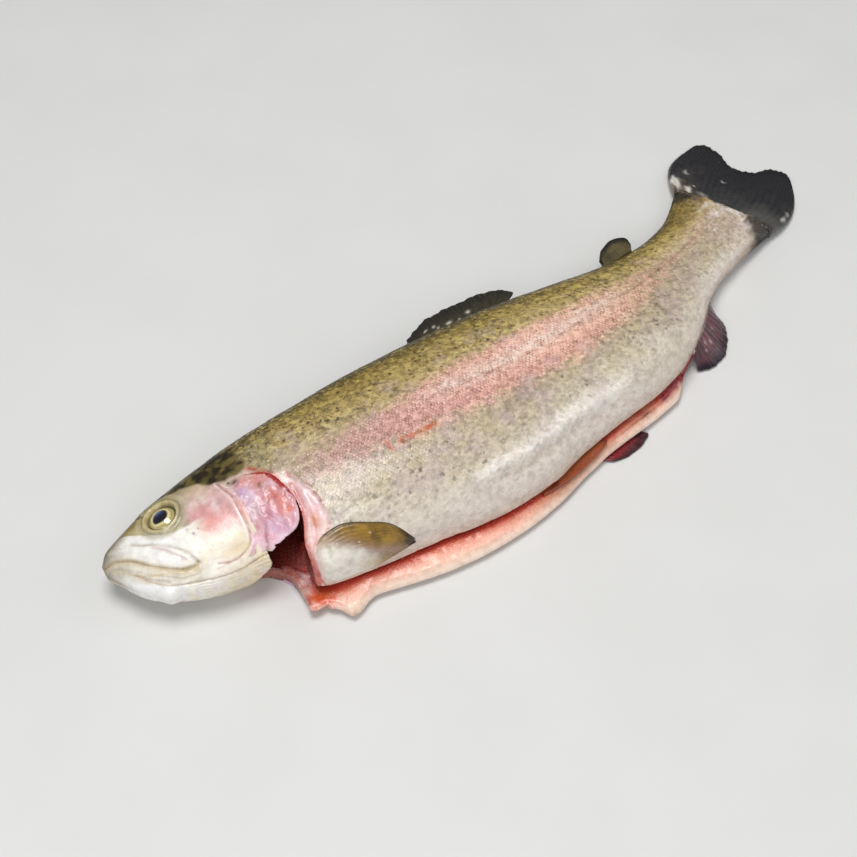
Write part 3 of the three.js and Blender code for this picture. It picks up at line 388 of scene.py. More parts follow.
# ------------------------------------------------------------------ materials
def new_mat(name):
    m = bpy.data.materials.new(name); m.use_nodes = True; nt = m.node_tree; nt.nodes.clear()
    out = nt.nodes.new("ShaderNodeOutputMaterial"); b = nt.nodes.new("ShaderNodeBsdfPrincipled")
    nt.links.new(b.outputs[0], out.inputs[0]); return m, nt, b
class N:
    """Small helper to chain shader nodes."""
    def __init__(s, nt): s.nt = nt
    def _in(s, sock, v):
        if v is None: return
        if hasattr(v, "is_output") or isinstance(v, bpy.types.NodeSocket): s.nt.links.new(v, sock)
        else: sock.default_value = v
    def math(s, op, a, b=None, c=None, clamp=False):
        n = s.nt.nodes.new("ShaderNodeMath"); n.operation = op; n.use_clamp = clamp
        for i, v in enumerate((a, b, c)):
            if v is not None: s._in(n.inputs[i], v)
        return n.outputs[0]
    def attr(s, name, what="Color"):
        n = s.nt.nodes.new("ShaderNodeAttribute"); n.attribute_name = name; return n.outputs[what]
    def sep(s, v):
        n = s.nt.nodes.new("ShaderNodeSeparateXYZ"); s.nt.links.new(v, n.inputs[0]); return n.outputs
    def comb(s, x, y, z=0.0):
        n = s.nt.nodes.new("ShaderNodeCombineXYZ")
        for i, v in enumerate((x, y, z)): s._in(n.inputs[i], v)
        return n.outputs[0]
    def noise(s, vec, scale, detail=2.0, rough=.5, what="Fac", dist=0.0):
        n = s.nt.nodes.new("ShaderNodeTexNoise"); s.nt.links.new(vec, n.inputs["Vector"])
        n.inputs["Scale"].default_value = scale; n.inputs["Detail"].default_value = detail; n.inputs["Roughness"].default_value = rough; n.inputs["Distortion"].default_value = dist
        return n.outputs[what]
    def voro(s, vec, scale, what="Distance", rand=1.0, feature="F1"):
        n = s.nt.nodes.new("ShaderNodeTexVoronoi"); n.feature = feature; s.nt.links.new(vec, n.inputs["Vector"])
        n.inputs["Scale"].default_value = scale; n.inputs["Randomness"].default_value = rand
        return n.outputs[what]
    def ramp(s, v, a, b, lo_=0.0, hi_=1.0):
        n = s.nt.nodes.new("ShaderNodeMapRange"); n.interpolation_type = "SMOOTHSTEP"
        s._in(n.inputs[0], v); n.inputs[1].default_value = a; n.inputs[2].default_value = b; n.inputs[3].default_value = lo_; n.inputs[4].default_value = hi_
        return n.outputs[0]
    def mix(s, f, a, b, mode="MIX"):
        n = s.nt.nodes.new("ShaderNodeMix"); n.data_type = "RGBA"; n.blend_type = mode; n.clamp_factor = True
        s._in(n.inputs[0], f); s._in(n.inputs[6], a); s._in(n.inputs[7], b); return n.outputs[2]
    def bump(s, h, strength, dist, normal=None):
        n = s.nt.nodes.new("ShaderNodeBump"); n.inputs["Strength"].default_value = strength; n.inputs["Distance"].default_value = dist
        s.nt.links.new(h, n.inputs["Height"])
        if normal is not None: s.nt.links.new(normal, n.inputs["Normal"])
        return n.outputs[0]
    def obj(s):
        n = s.nt.nodes.new("ShaderNodeTexCoord"); m = s.nt.nodes.new("ShaderNodeVectorMath"); m.operation = "SCALE"; m.inputs[3].default_value = 1000.0
        s.nt.links.new(n.outputs["Object"], m.inputs[0]); return m.outputs[0]
def rgba(c, k=1.0): return tuple(float(x)*k for x in lin(c)) + (1.0,)

def skin_material():
    m, nt, b = new_mat("trout_skin"); n = N(nt)
    base = n.attr("Col"); uvs = n.sep(n.attr("sa", "Vector")); msk = n.sep(n.attr("msk", "Vector")); msk2 = n.sep(n.attr("msk2", "Vector"))
    P = n.obj()
    scale_amt, spot_amt, fleck_amt = msk[0], msk[1], msk[2]; glint_amt, wet, net_amt = msk2[0], msk2[1], msk2[2]
    # overlapping scale lattice
    w1 = n.noise(P, .22, 2); w2 = n.noise(P, .19, 2, what="Color"); wn = n.sep(w2)
    w3 = n.sep(n.noise(P, .8, 2, what="Color"))
    u = n.math("ADD", n.math("DIVIDE", uvs[0], 1.42), n.math("ADD", n.math("MULTIPLY", n.math("SUBTRACT", wn[0], .5), 2.2), n.math("MULTIPLY", n.math("SUBTRACT", w3[0], .5), .8)))
    v = n.math("ADD", n.math("DIVIDE", uvs[1], 1.05), n.math("ADD", n.math("MULTIPLY", n.math("SUBTRACT", wn[1], .5), 2.2), n.math("MULTIPLY", n.math("SUBTRACT", w3[1], .5), .7)))
    row = n.math("FLOOR", v); off = n.math("MULTIPLY", n.math("MODULO", n.math("ABSOLUTE", row), 2.0), .5)
    uo = n.math("ADD", u, off); fu = n.math("SUBTRACT", n.math("FRACT", uo), .5); fv = n.math("SUBTRACT", n.math("FRACT", v), .5)
    fs = n.math("ADD", fu, .2)
    dd = n.math("SQRT", n.math("ADD", n.math("MULTIPLY", fs, fs), n.math("MULTIPLY", n.math("MULTIPLY", fv, fv), .9)))
    edge = n.ramp(dd, .38, .66)
    w4 = n.noise(P, .45, 3, .65)
    cell = n.comb(n.math("FLOOR", uo), row, 0.0)
    wh = nt.nodes.new("ShaderNodeTexWhiteNoise"); wh.noise_dimensions = "3D"; nt.links.new(cell, wh.inputs["Vector"]); rnd = wh.outputs["Value"]; rc = n.sep(wh.outputs["Color"])
    bandm = n.sep(n.attr("band", "Vector"))[0]; bandc = n.attr("ColB")
    bw = n.math("MULTIPLY", n.math("MULTIPLY", bandm, n.math("SUBTRACT", 1.0, bandm)), 2.4)
    bm = n.math("ADD", bandm, n.math("MULTIPLY", n.math("ADD", n.math("SUBTRACT", rnd, .5), n.math("MULTIPLY", n.math("SUBTRACT", w1, .5), 2.2)), bw), clamp=True)
    c = n.mix(bm, base, bandc)
    # scale to scale variation and the dark net between scales
    c = n.mix(n.math("MULTIPLY", scale_amt, n.ramp(rnd, .35, 1.0, 0.0, .42)), c, (1.0, .96, .90, 1), "SOFT_LIGHT")
    c = n.mix(n.math("MULTIPLY", scale_amt, n.ramp(rnd, .5, .0, 0.0, .28)), c, rgba((120, 96, 76)), "MULTIPLY")
    c = n.mix(n.math("MULTIPLY", net_amt, n.math("MULTIPLY", edge, n.ramp(w4, .38, .66, .08, .85))), c, rgba((112, 60, 50)), "MULTIPLY")
    # gold and dark flecks of the back
    fl = n.noise(P, .50, 5, .72); fpatch = n.ramp(n.noise(P, .10, 2), .35, .65, .45, 1.0)
    q3 = n.math("ADD", uvs[0], n.math("MULTIPLY", n.math("SUBTRACT", w3[0], .5), 1.6)); q4 = n.math("ADD", uvs[1], n.math("MULTIPLY", n.math("SUBTRACT", w3[1], .5), 1.6))
    vb = nt.nodes.new("ShaderNodeTexVoronoi"); nt.links.new(n.comb(q3, q4, 3.0), vb.inputs["Vector"]); vb.inputs["Scale"].default_value = .40
    rb = n.sep(vb.outputs["Color"]); fl2 = n.math("SUBTRACT", vb.outputs["Distance"], n.math("MULTIPLY", rb[0], .30))
    c = n.mix(n.math("MULTIPLY", n.math("MULTIPLY", fleck_amt, fpatch), n.ramp(fl, .50, .62, 0, .80)), c, rgba((66, 57, 28)))
    c = n.mix(n.math("MULTIPLY", fleck_amt, n.ramp(fl, .47, .36, 0, .70)), c, rgba((202, 180, 102)))
    c = n.mix(n.math("MULTIPLY", fleck_amt, n.ramp(fl2, .10, -.10, 0, .85)), c, rgba((50, 44, 24)))
    pq = n.noise(P, .085, 3, .6)
    c = n.mix(n.math("MULTIPLY", spot_amt, n.ramp(pq, .50, .64, 0, .22)), c, rgba((206, 192, 136)))
    c = n.mix(n.math("MULTIPLY", spot_amt, n.ramp(pq, .49, .38, 0, .36)), c, rgba((196, 172, 176)))
    # dark spots of the flank
    sv = n.comb(q3, q4, 0.0)
    vd = nt.nodes.new("ShaderNodeTexVoronoi"); nt.links.new(sv, vd.inputs["Vector"]); vd.inputs["Scale"].default_value = .33
    rs = n.sep(vd.outputs["Color"]); rad = n.math("MULTIPLY", n.math("ADD", n.math("MULTIPLY", rs[0], .22), .12), n.ramp(rs[1], .14, .36, 0, 1))
    spot = n.ramp(n.math("SUBTRACT", vd.outputs["Distance"], rad), .09, -.15)
    brk = n.ramp(n.noise(P, 1.3, 3, .6), .34, .56, .45, 1)
    clus = n.ramp(n.noise(P, .07, 2), .36, .56, .45, 1)
    c = n.mix(n.math("MULTIPLY", n.math("MULTIPLY", n.math("MULTIPLY", spot, spot_amt), clus), n.math("MULTIPLY", brk, .82)), c, rgba((88, 80, 72)))
    vd2 = nt.nodes.new("ShaderNodeTexVoronoi"); nt.links.new(sv, vd2.inputs["Vector"]); vd2.inputs["Scale"].default_value = .62
    rs2 = n.sep(vd2.outputs["Color"]); spot2 = n.ramp(n.math("SUBTRACT", vd2.outputs["Distance"], n.math("MULTIPLY", rs2[0], .26)), .08, -.12)
    c = n.mix(n.math("MULTIPLY", n.math("MULTIPLY", n.math("MULTIPLY", spot2, clus), spot_amt), .62), c, rgba((108, 96, 80)))
    # fine mottling
    mo = n.noise(P, .33, 5, .7)
    c = n.mix(n.ramp(mo, .35, .7, 0, .30), c, (1.0, .97, .92, 1), "SOFT_LIGHT")
    c = n.mix(n.ramp(mo, .62, .30, 0, .22), c, (.35, .33, .30, 1), "MULTIPLY")
    # single scales that catch the light
    gl = n.math("MULTIPLY", n.math("MULTIPLY", n.ramp(n.noise(P, 1.05, 3, .6), .61, .70), n.math("SUBTRACT", 1.0, edge)), glint_amt)
    c = n.mix(n.math("MULTIPLY", gl, .85), c, rgba((252, 240, 216)))
    nt.links.new(c, b.inputs["Base Color"])
    r = n.math("ADD", n.ramp(n.noise(P, .5, 3, .6), .3, .75, .26, .44), n.math("MULTIPLY", wet, -.12))
    r = n.math("SUBTRACT", r, n.math("MULTIPLY", gl, .12), clamp=True); nt.links.new(r, b.inputs["Roughness"])
    lw = nt.nodes.new("ShaderNodeLayerWeight"); lw.inputs[0].default_value = .5; fc_ = lw.outputs["Facing"]
    nt.links.new(n.ramp(fc_, .22, .60, .46, .03), b.inputs["Specular IOR Level"]); nt.links.new(n.ramp(fc_, .18, .55, .45, .0), b.inputs["Coat Weight"]); b.inputs["Coat Roughness"].default_value = .17
    b.inputs["Subsurface Weight"].default_value = .06; b.inputs["Subsurface Radius"].default_value = (.004, .002, .0012); b.inputs["Subsurface Scale"].default_value = .6
    h = n.math("MULTIPLY", n.math("ADD", n.math("MULTIPLY", n.math("SUBTRACT", 1.0, edge), .8), n.math("MULTIPLY", fu, .5)), n.math("MULTIPLY", scale_amt, n.ramp(w4, .3, .7, .4, 1)))
    nb = n.bump(h, .5, .0002)
    nb = n.bump(n.noise(P, 1.1, 4, .6), .22, .00035, nb)
    nt.links.new(nb, b.inputs["Normal"])
    return m
def flesh_material(name="trout_flesh"):
    m, nt, b = new_mat(name); n = N(nt); P = n.obj(); base = n.attr("Col")
    f1 = n.noise(P, .35, 5, .65, dist=.6); f2 = n.noise(P, 1.5, 3, .6)
    c = n.mix(n.ramp(f1, .48, .72, 0, .30), base, rgba((206, 110, 100)), "MULTIPLY")
    c = n.mix(n.ramp(f2, .56, .75, 0, .25), c, rgba((246, 214, 200)))
    nt.links.new(c, b.inputs["Base Color"]); nt.links.new(n.ramp(f2, .3, .7, .16, .38), b.inputs["Roughness"])
    b.inputs["Specular IOR Level"].default_value = .6; b.inputs["Coat Weight"].default_value = .5; b.inputs["Coat Roughness"].default_value = .12
    b.inputs["Subsurface Weight"].default_value = .15; b.inputs["Subsurface Radius"].default_value = (.006, .002, .001); b.inputs["Subsurface Scale"].default_value = .8
    nt.links.new(n.bump(n.noise(P, .9, 5, .6, dist=.4), .45, .0007), b.inputs["Normal"])
    return m
def membrane_material(name, ray_scale=1.0, rough=(.22, .42), bump_=.35, speck=(200, 190, 175), speck_amt=0.0):
    m, nt, b = new_mat(name); n = N(nt); P = n.obj(); base = n.attr("Col"); uv = n.sep(n.attr("sa", "Vector"))
    f1 = n.noise(P, .4, 4, .65); f2 = n.noise(n.comb(n.math("MULTIPLY", uv[0], .25), uv[1], 0), 2.6, 3, .6)
    c = n.mix(n.ramp(f1, .38, .7, 0, .5), base, (.55, .5, .45, 1), "MULTIPLY")
    c = n.mix(n.ramp(f2, .45, .75, 0, .35), c, (1.0, .95, .9, 1), "SOFT_LIGHT")
    if speck_amt:
        sp = n.noise(P, .75, 4, .7)
        c = n.mix(n.ramp(sp, .66, .72, 0, speck_amt), c, rgba(speck))
    nt.links.new(c, b.inputs["Base Color"]); nt.links.new(n.ramp(f1, .3, .7, rough[0], rough[1]), b.inputs["Roughness"])
    b.inputs["Specular IOR Level"].default_value = .5; b.inputs["Coat Weight"].default_value = .3; b.inputs["Coat Roughness"].default_value = .15
    nt.links.new(n.bump(f2, bump_, .0004), b.inputs["Normal"])
    return m
SKIN = skin_material(); FLESH = flesh_material()

# ------------------------------------------------------------------ cut the body
body = make("trout_body", V1, T1); body.data.materials.append(SKIN); body.data.materials.append(FLESH)
def cutter(V, T):
    c = make("cutter", V, T); c.data.materials.append(SKIN); c.data.materials.append(FLESH)
    c.data.polygons.foreach_set("material_index", np.ones(len(c.data.polygons), np.int32)); return c
for V_, T_ in ((cavV, cavT), (sliV, sliT), (chaV, chaT), (thrV, thrT)):
    boolean(body, cutter(V_, T_))
me = body.data
nv = len(me.vertices); co = np.empty(nv*3, np.float32); me.vertices.foreach_get("co", co); BV = co.reshape(-1, 3)*1000.0 - SHIFT
npoly = len(me.polygons); mi = np.empty(npoly, np.int32); me.polygons.foreach_get("material_index", mi)
print("BODY verts", nv, "polys", npoly, "flesh polys", int((mi == 1).sum()), "materials", [m_.name for m_ in me.materials])
kd = KDTree(len(V1))
for i, p in enumerate(V1): kd.insert(p, i)
kd.balance()
idx = np.empty(nv, np.int64); dst = np.empty(nv)
for i, p in enumerate(BV):
    _, a_, d_ = kd.find(p); idx[i] = a_; dst[i] = d_
src = np.minimum(first[idx], n0-1)
s_, f_, a_, side_ = G_s[src], G_f[src], G_a[src], G_side[src]
K_ = {k_: GK[k_][src] for k_ in GK}
onskin = dst < .02

# ------------------------------------------------------------------ paint
def mixc(c, colr, m): return c*(1-m[:, None]) + lin(colr)[None]*m[:, None]
def rampc(x, stops):
    xs = [q[0] for q in stops]; cs = np.array([lin(q[1]) for q in stops])
    return np.stack([np.interp(x, xs, cs[:, i]) for i in range(3)], 1)
EXTRA = {}
def paint_skin(P, s, f, side, K):
    n1 = fbm(P, 1/14, 101); n2 = fbm(P, 1/5, 103); n3 = fbm(P, 1/1.8, 107)
    ff = f + 3.5*n1 + 2*n2
    # colour round the section from the back to the belly; the darkest stops along the back edge are partly the back's
    # own dark olive and partly painted shade where the back turns away from the light
    c = rampc(ff, [(0, (44, 38, 20)), (20, (54, 47, 23)), (32, (84, 72, 35)), (44, (130, 111, 57)), (56, (160, 139, 80)), (68, (180, 158, 104)), (80, (188, 168, 130)), (86, (190, 170, 138)), (98, (188, 170, 144)),
                   (108, (174, 156, 134)), (124, (190, 176, 154)), (138, (212, 200, 184)), (155, (226, 214, 204)), (168, (226, 211, 200)), (180, (220, 194, 178))])
    mot = np.clip(2.6*fbm(P, 1/1.9, 231, 2), -1, 1)*(1-sm(s, 292, 299)); c = c*(1 + (.20*(1-sm(f, 66, 96)) + .05)*mot)[:, None]
    # rosy band along the side
    pt = np.interp(s, [60, 73, 90, 107, 126, 144, 161, 180, 200, 223, 250, 268], [88, 91, 85, 80, 74.5, 73.5, 74, 73.5, 72.5, 74.6, 77, 84])
    pb = np.interp(s, [60, 74, 86, 99, 115, 131, 147, 163, 180, 203, 224, 249, 268], [112, 107, 103, 103.9, 103, 103, 105.4, 108, 110, 107, 103, 101, 98])
    wob = 3.2*n2 + 2.5*n1 + 1.5*n3
    band = sm(f+wob, pt-6, pt+6)*(1-sm(f+wob, pb-7, pb+7))
    stren = np.interp(s, [66, 78, 92, 120, 180, 215, 240, 262, 280], [.15, .5, .8, .95, 1.0, .8, .5, .28, .1])
    bc = rampc(s, [(60, (196, 160, 158)), (90, (202, 152, 148)), (120, (230, 168, 158)), (150, (240, 178, 164)), (185, (253, 194, 172)), (205, (247, 190, 166)), (222, (228, 176, 152)), (260, (192, 150, 134))])
    bandmask = band*stren; c0 = c.copy(); c = bc
    # painted highlight along the middle of the rosy band
    band_highlight = np.exp(-((f-np.interp(s, LATL[:, 0], LATL[:, 1])+2.5+2*n2)/5.6)**2)*sm(s, 108, 140)*(1-sm(s, 204, 230))*(.7+.5*n3)
    c = mixc(c, (255, 226, 210), np.clip(band_highlight*.9, 0, 1))
    lowb = np.exp(-((f-pb+6+2*n2)/4.5)**2)*sm(s, 76, 110)*(1-sm(s, 196, 224))
    c = mixc(c, (196, 136, 130), np.clip(lowb*.45, 0, 1))
    bcol = c; m = bandmask[:, None]; c = c0
    # dark dashes of the lateral line
    dash = np.exp(-(K["lat"]/.45)**2)*(.25+.75*(vnoise(P, .55, 7) > -.1))*sm(s, 104, 130)*(1-sm(s, 268, 285)); bcol = mixc(bcol, (150, 86, 74), np.clip(dash*.65, 0, 1))
    c = mixc(c, (132, 88, 78), np.clip(dash*.4, 0, 1)); EXTRA["band"] = bandmask; keep_c = []
    # smears of blood
    for (bs, bf, r1, r2, k1) in ((102.9, 103.3, .75, 1.7, 1.1), (107.8, 103.6, 1.1, 1.1, 1.1), (111.0, 103.2, 1.9, .6, 1.0), (114.6, 103.2, 2.2, .65, 1.0), (118.2, 103.2, 2.0, .85, 1.1), (121.0, 102.6, 1.0, .7, .9), (113, 105.6, 3.0, .35, .5)):
        q = ((s-bs)/r1)**2 + ((f-bf)/(r2*2.3))**2
        if side is not None: q = np.where(side > 0, q, 99)
        bl = np.clip(np.exp(-q**1.5)*k1*(.8+.9*n3), 0, 1); c = mixc(c, (192, 66, 20), bl); bcol = mixc(bcol, (192, 66, 20), bl)
    # painted highlight along the belly fold, and painted shade in the hollow below it
    rd = np.exp(-(K["ridge"]/(2.4+1.6*sm(s, 145, 165)))**2)*sm(s, 112, 136)*(1-sm(s, 182, 198))
    c = mixc(c, (255, 248, 240), np.clip(rd*(.82+.5*n2+.35*n3), 0, 1))
    gr = np.where(f > 140, np.exp(-((K["ridge"]-5)/2.2)**2), 0)*sm(s, 112, 135)*(1-sm(s, 176, 200))
    c = mixc(c, (198, 182, 170), np.clip(gr*.45, 0, 1))
    wp = np.exp(-(((s-80)/9)**2 + ((f-131)/7)**2)); c = mixc(c, (236, 228, 214), np.clip(wp*(.85+.6*n3), 0, 1))
    c = mixc(c, (226, 214, 198), np.clip(np.exp(-(((s-100)/16)**2 + ((f-152)/12)**2))*(.7+.4*n2), 0, 1))
    ck = np.exp(-(((s-62)/7)**2))*sm(f, 44, 58)*(1-sm(f, 90, 98)); c = mixc(c, (150, 139, 112), np.clip(ck*(.7+.7*n2), 0, 1)); dk_ = np.exp(-(((s-60)/6)**2))*(1-sm(f+4*n2, 48, 64)); c = mixc(c, (74, 64, 34), np.clip(dk_*(.5+1.2*n2), 0, 1))
    # pale wash near the vent and tail stalk
    c = mixc(c, (206, 196, 176), np.clip(np.exp(-(((s-215)/22)**2 + ((f-150)/22)**2))*.6, 0, 1))
    tl = sm(s, 262, 292); c = mixc(c, (196, 178, 158), np.clip(tl*(1-sm(np.abs(f-112), 22, 42))*.6, 0, 1))
    c = mixc(c, (124, 106, 58), np.clip(tl*(1-sm(f, 52, 84))*.8, 0, 1)); c = mixc(c, (110, 96, 76), np.clip(tl*sm(f, 144, 166)*.8, 0, 1))
    mk = np.clip(2.2*fbm(P, 1/3.5, 217, 3), 0, 1)*sm(s, 270, 288)*(1-sm(f, 56, 74)); c = mixc(c, (44, 34, 16), mk*.85)
    wr = sm(s, 272, 292)*np.clip(fbm(np.stack([P[:, 0]*.35+P[:, 1]*.35, P[:, 1]*1.0-P[:, 0]*.9, P[:, 2]], 1), 1/2.6, 211)*3.2-.15, 0, 1)*sm(f, 64, 76)*(1-sm(f, 128, 146)); c = mixc(c, (236, 222, 216), np.clip(wr*.9, 0, 1))
    wr = sm(s, 262, 285)*np.clip(fbm(np.stack([s*.25, f*.35, 0*s], 1), 1.0, 223)*2-.3, 0, 1)*sm(f, 62, 76)*(1-sm(f, 100, 116)); c = mixc(c, (206, 150, 140), np.clip(wr*.7, 0, 1))
    df = np.exp(-(((s-166)/26)**4))*(1-sm(f + 2.5*n2, 28, 42)); c = mixc(c, (58, 49, 26), np.clip(df*(.85+.4*n3), 0, 1))
    send = np.interp(f, [3, 12, 32, 47, 60, 118, 128, 144, 176], [287.2, 291.5, 296.5, 300.3, 301.9, 301.9, 299, 294, 289.5])
    c = mixc(c, (240, 232, 228), np.clip(np.exp(-((s-send+1.9+1.6*n2)/1.0)**2)*(f > 66)*(f < 134)*np.clip(.5+1.8*n3, 0, 1), 0, 1))
    dots = (vnoise(P, .42, 213) > .52)*sm(s, 276, 288)*(f < 60); c = mixc(c, (62, 50, 24), dots*.8)
    wid = 2.0+4.5*((f < 62) | (f > 120)); c = mixc(c, (44, 40, 38), np.clip(sm(s + 3.0*n3 + 3.2*n2, send-wid, send+1.0)*.95, 0, 1)); EXTRA["band"] = EXTRA["band"]*(1-sm(s, 270, 290))
    # ------- head
    up_ = 1-sm(f, 82, 92); hd = (1 - sm(s + 1.5*n2, 60, 66))*(1-up_) + (1 - sm(s + 3.5*n2 + 2*n3, 55, 61))*up_
    # olive of the head, darker towards the top edge: partly the head's own colour and partly painted shade where the
    # top turns away from the light
    olive = rampc(f + 3*n1, [(0, (58, 50, 26)), (25, (92, 80, 42)), (42, (128, 111, 66)), (54, (152, 133, 88)), (66, (182, 164, 124)), (78, (192, 180, 144)), (90, (188, 178, 150)), (105, (206, 196, 176))])
    h = olive
    cheek = rampc(f + 4*n1, [(50, (166, 150, 116)), (62, (196, 174, 148)), (73, (222, 194, 180)), (84, (222, 190, 186)), (94, (220, 176, 174)), (104, (230, 172, 166)), (113, (240, 192, 184)), (122, (248, 226, 220)), (134, (240, 222, 206)), (150, (238, 220, 198)), (170, (242, 228, 208))])
    h = h*(1-sm(s, 28, 34))[:, None] + cheek*sm(s, 28, 34)[:, None]
    h = mixc(h, (178, 176, 158), np.clip(np.exp(-(((s-30.5)/3.2)**2 + ((f-78)/16)**2)), 0, 1)*.85)
    h = mixc(h, (128, 122, 92), np.clip(np.exp(-(((s-30.5)/2.0)**2 + ((f-93)/6)**2)), 0, 1)*.55)
    for (ps, pf, r1, r2, colr, k1) in ((37.0, 88, 5, 12, (216, 152, 154), 1.0), (40.5, 103, 4.5, 8, (230, 150, 146), 1.0), (35.5, 104, 4.0, 5, (228, 152, 142), .9), (35.5, 80, 2.0, 5, (232, 206, 198), .8), (43.5, 84, 2.6, 12, (194, 140, 146), .85), (45.7, 104, 2.0, 14, (214, 160, 164), .7), (43.2, 110, 1.6, 4, (226, 150, 150), .7),
                                       (42, 117, 4, 6, (240, 184, 180), .8), (38, 75, 5, 5, (206, 184, 168), .6), (36, 124, 7, 7, (248, 236, 206), .6), (41.6, 93, 1.0, 9, (250, 240, 238), .75), (38.8, 81, 1.0, 5, (240, 230, 222), .7), (44.6, 112, 1.0, 5, (250, 238, 236), .6)):
        q = ((s-ps)/r1)**2 + ((f-pf)/r2)**2; h = mixc(h, colr, np.clip(np.exp(-q)*k1*(.85+.7*n2+.5*n3), 0, 1))
    we = np.interp(s, WHITE_EDGE[:, 0], WHITE_EDGE[:, 1]); wm = sm(f + 1.2*n2, we-1.2, we+1.6)*(1-sm(s, 31, 38)*(1-sm(f, 112, 128)))
    white = rampc(s + 2*n1, [(0, (120, 112, 98)), (3, (176, 169, 156)), (6.5, (216, 211, 200)), (10, (246, 243, 236)), (20, (253, 251, 247)), (30, (250, 245, 236)), (40, (244, 231, 210)), (52, (236, 217, 190))])
    h = h*(1-wm)[:, None] + white*wm[:, None]
    tip_ = (1-sm(s, 5.5, 10.5))*(1-sm(f + 3*n2, 56, 80)); h = mixc(h, (136, 127, 98), np.clip(tip_*.85, 0, 1))
    lav = np.clip(fbm(P, 1/4.2, 311)*1.8, 0, 1)*wm; h = mixc(h, (226, 216, 226), lav*.35); yel = np.clip(fbm(P, 1/5.2, 313)*1.9, 0, 1)*wm*sm(f, 112, 136); h = mixc(h, (238, 220, 172), yel*.5)
    # creases of the mouth and jaw; the darker lines along the mouth, maxilla, lower-lip and jaw grooves are painted
    # shade in the creases
    fm = np.interp(s, [p[0] for p in MOUTH], [p[1] for p in MOUTH])
    lowj = ((s < 30) & (f > fm)).astype(float)*np.exp(-np.clip(K["mouth"]-.2, 0, 99)/4.5)
    h = mixc(h, (198, 182, 152), np.clip(lowj*.75*sm(s, 1, 6)*(1-sm(f, 150, 162)), 0, 1))
    h = mixc(h, (206, 186, 140), np.clip(np.exp(-((f-(140+4*n2))/2.2)**2)*sm(s, 4, 8)*(1-sm(s, 27, 33))*.75, 0, 1))
    h = mixc(h, (252, 252, 252), np.clip(np.exp(-(((s-13)/6)**2 + ((f-163)/12)**2))*.9, 0, 1))
    h = mixc(h, (150, 142, 134), np.clip(sm(f, 166, 180)*(1-sm(s, 2, 12))*.7, 0, 1))
    h = mixc(h, (206, 196, 176), np.clip(np.exp(-((f-147)/7)**2)*sm(s, 8, 14)*(1-sm(s, 28, 40))*.55, 0, 1))
    h = mixc(h, (140, 116, 84), np.clip(np.exp(-(K["mouth"]/.6)**2)*(.45+.6*n2), 0, 1))
    h = mixc(h, (206, 190, 158), np.clip(np.exp(-(K["mouth"]/1.6)**2)*.45, 0, 1))
    h = mixc(h, (160, 148, 128), np.clip(np.exp(-(K["mtop"]/.5)**2)*(.55+.5*n2)*sm(s, 8, 13), 0, 1))
    h = mixc(h, (206, 176, 172), np.clip(np.exp(-(K["min"]/.6)**2)*.7, 0, 1))
    h = mixc(h, (178, 168, 152), np.clip(np.exp(-(K["low"]/.7)**2)*.5, 0, 1))
    h = mixc(h, (196, 168, 132), np.clip(np.exp(-(K["jaw"]/.55)**2)*(.5+.5*n2), 0, 1))
    h = mixc(h, (204, 176, 132), np.clip(np.where(K["rays"] > 0, (1-K["rays"])**4*.42, 0)*sm(s, 24, 34)*np.clip(.6+n2, 0, 1), 0, 1))
    fpp = np.interp(f, [73.7, 83.6, 92.5, 103, 111.6, 121.2, 130.1, 136.4, 141.8, 146], [45.7, 47, 48, 48.1, 48.2, 48.2, 47.7, 47, 45.2, 42.4])
    # painted highlight along the ridge in front of the preopercle groove; the reddish line in the groove itself is
    # partly the skin's own tint and partly painted crease shade
    h = mixc(h, (252, 242, 238), np.clip(np.exp(-(np.abs(K["pre"]-.75)/.4)**2)*(s < fpp)*(.6+.6*n2), 0, 1))
    h = mixc(h, (178, 108, 104), np.clip(np.exp(-(K["pre"]/.42)**2)*(.65+.5*n3), 0, 1))
    h = mixc(h, (232, 206, 160), np.clip(np.exp(-(((s-43)/5)**2 + ((f-139)/6)**2))*.7, 0, 1))
    # dark crown with olive marbling
    cr = np.interp(s, CROWN[:, 0], CROWN[:, 1]); cm = (1-sm(f + 3*n2 + 2*n3, cr-4, cr+2))*sm(s, 12, 22)*(1-sm(s + 4*n2 + 3*n3, 58, 66))
    marb = np.clip(.32+2.0*fbm(P, 1/3.2, 301, 4), 0, 1)
    cc = lin((38, 31, 16))[None]*(1-marb)[:, None] + lin((112, 98, 52))[None]*marb[:, None]
    h = h*(1-cm)[:, None] + cc*cm[:, None]
    # snout tip
    h = mixc(h, (34, 32, 38), np.clip(np.exp(-(((s-1.2)/1.3)**2 + ((f-35)/40)**2)), 0, 1)*.9)
    # eye surround
    r = K["eye"]
    h = mixc(h, (196, 184, 134), np.clip(np.exp(-((r-6.2)/.7)**2)*.9, 0, 1))
    h = mixc(h, (104, 96, 64), np.clip(np.exp(-((r-7.3)/.4)**2)*(.6+.5*n2), 0, 1))
    h = mixc(h, (176, 166, 128), np.clip(np.exp(-((r-8.1)/.5)**2)*.6, 0, 1))
    h = mixc(h, (188, 182, 150), np.clip(np.exp(-((r-9.1)/.6)**2)*.45, 0, 1))
    # painted shade in the sunken socket round the eyeball
    h = mixc(h, (60, 52, 34), np.clip((1-sm(r, 4.9, 5.7)), 0, 1))
    # nostril pits painted dark: painted shade in the pits
    h = mixc(h, (70, 60, 44), np.clip(np.exp(-(K["nose"]/.8)**2)*.9, 0, 1))
    for (ps, pf, rr) in ((31.6, 106, .55), (30.2, 100, .35), (33.5, 104, .3)):
        q = np.hypot(s-ps, (f-pf)*.42); h = mixc(h, (112, 104, 100), np.clip(np.exp(-(q/rr)**2), 0, 1)*np.where(side > 0, 1, .3))
    c = c*(1-hd)[:, None] + h*hd[:, None]; EXTRA["band"] = EXTRA["band"]*(1-hd)
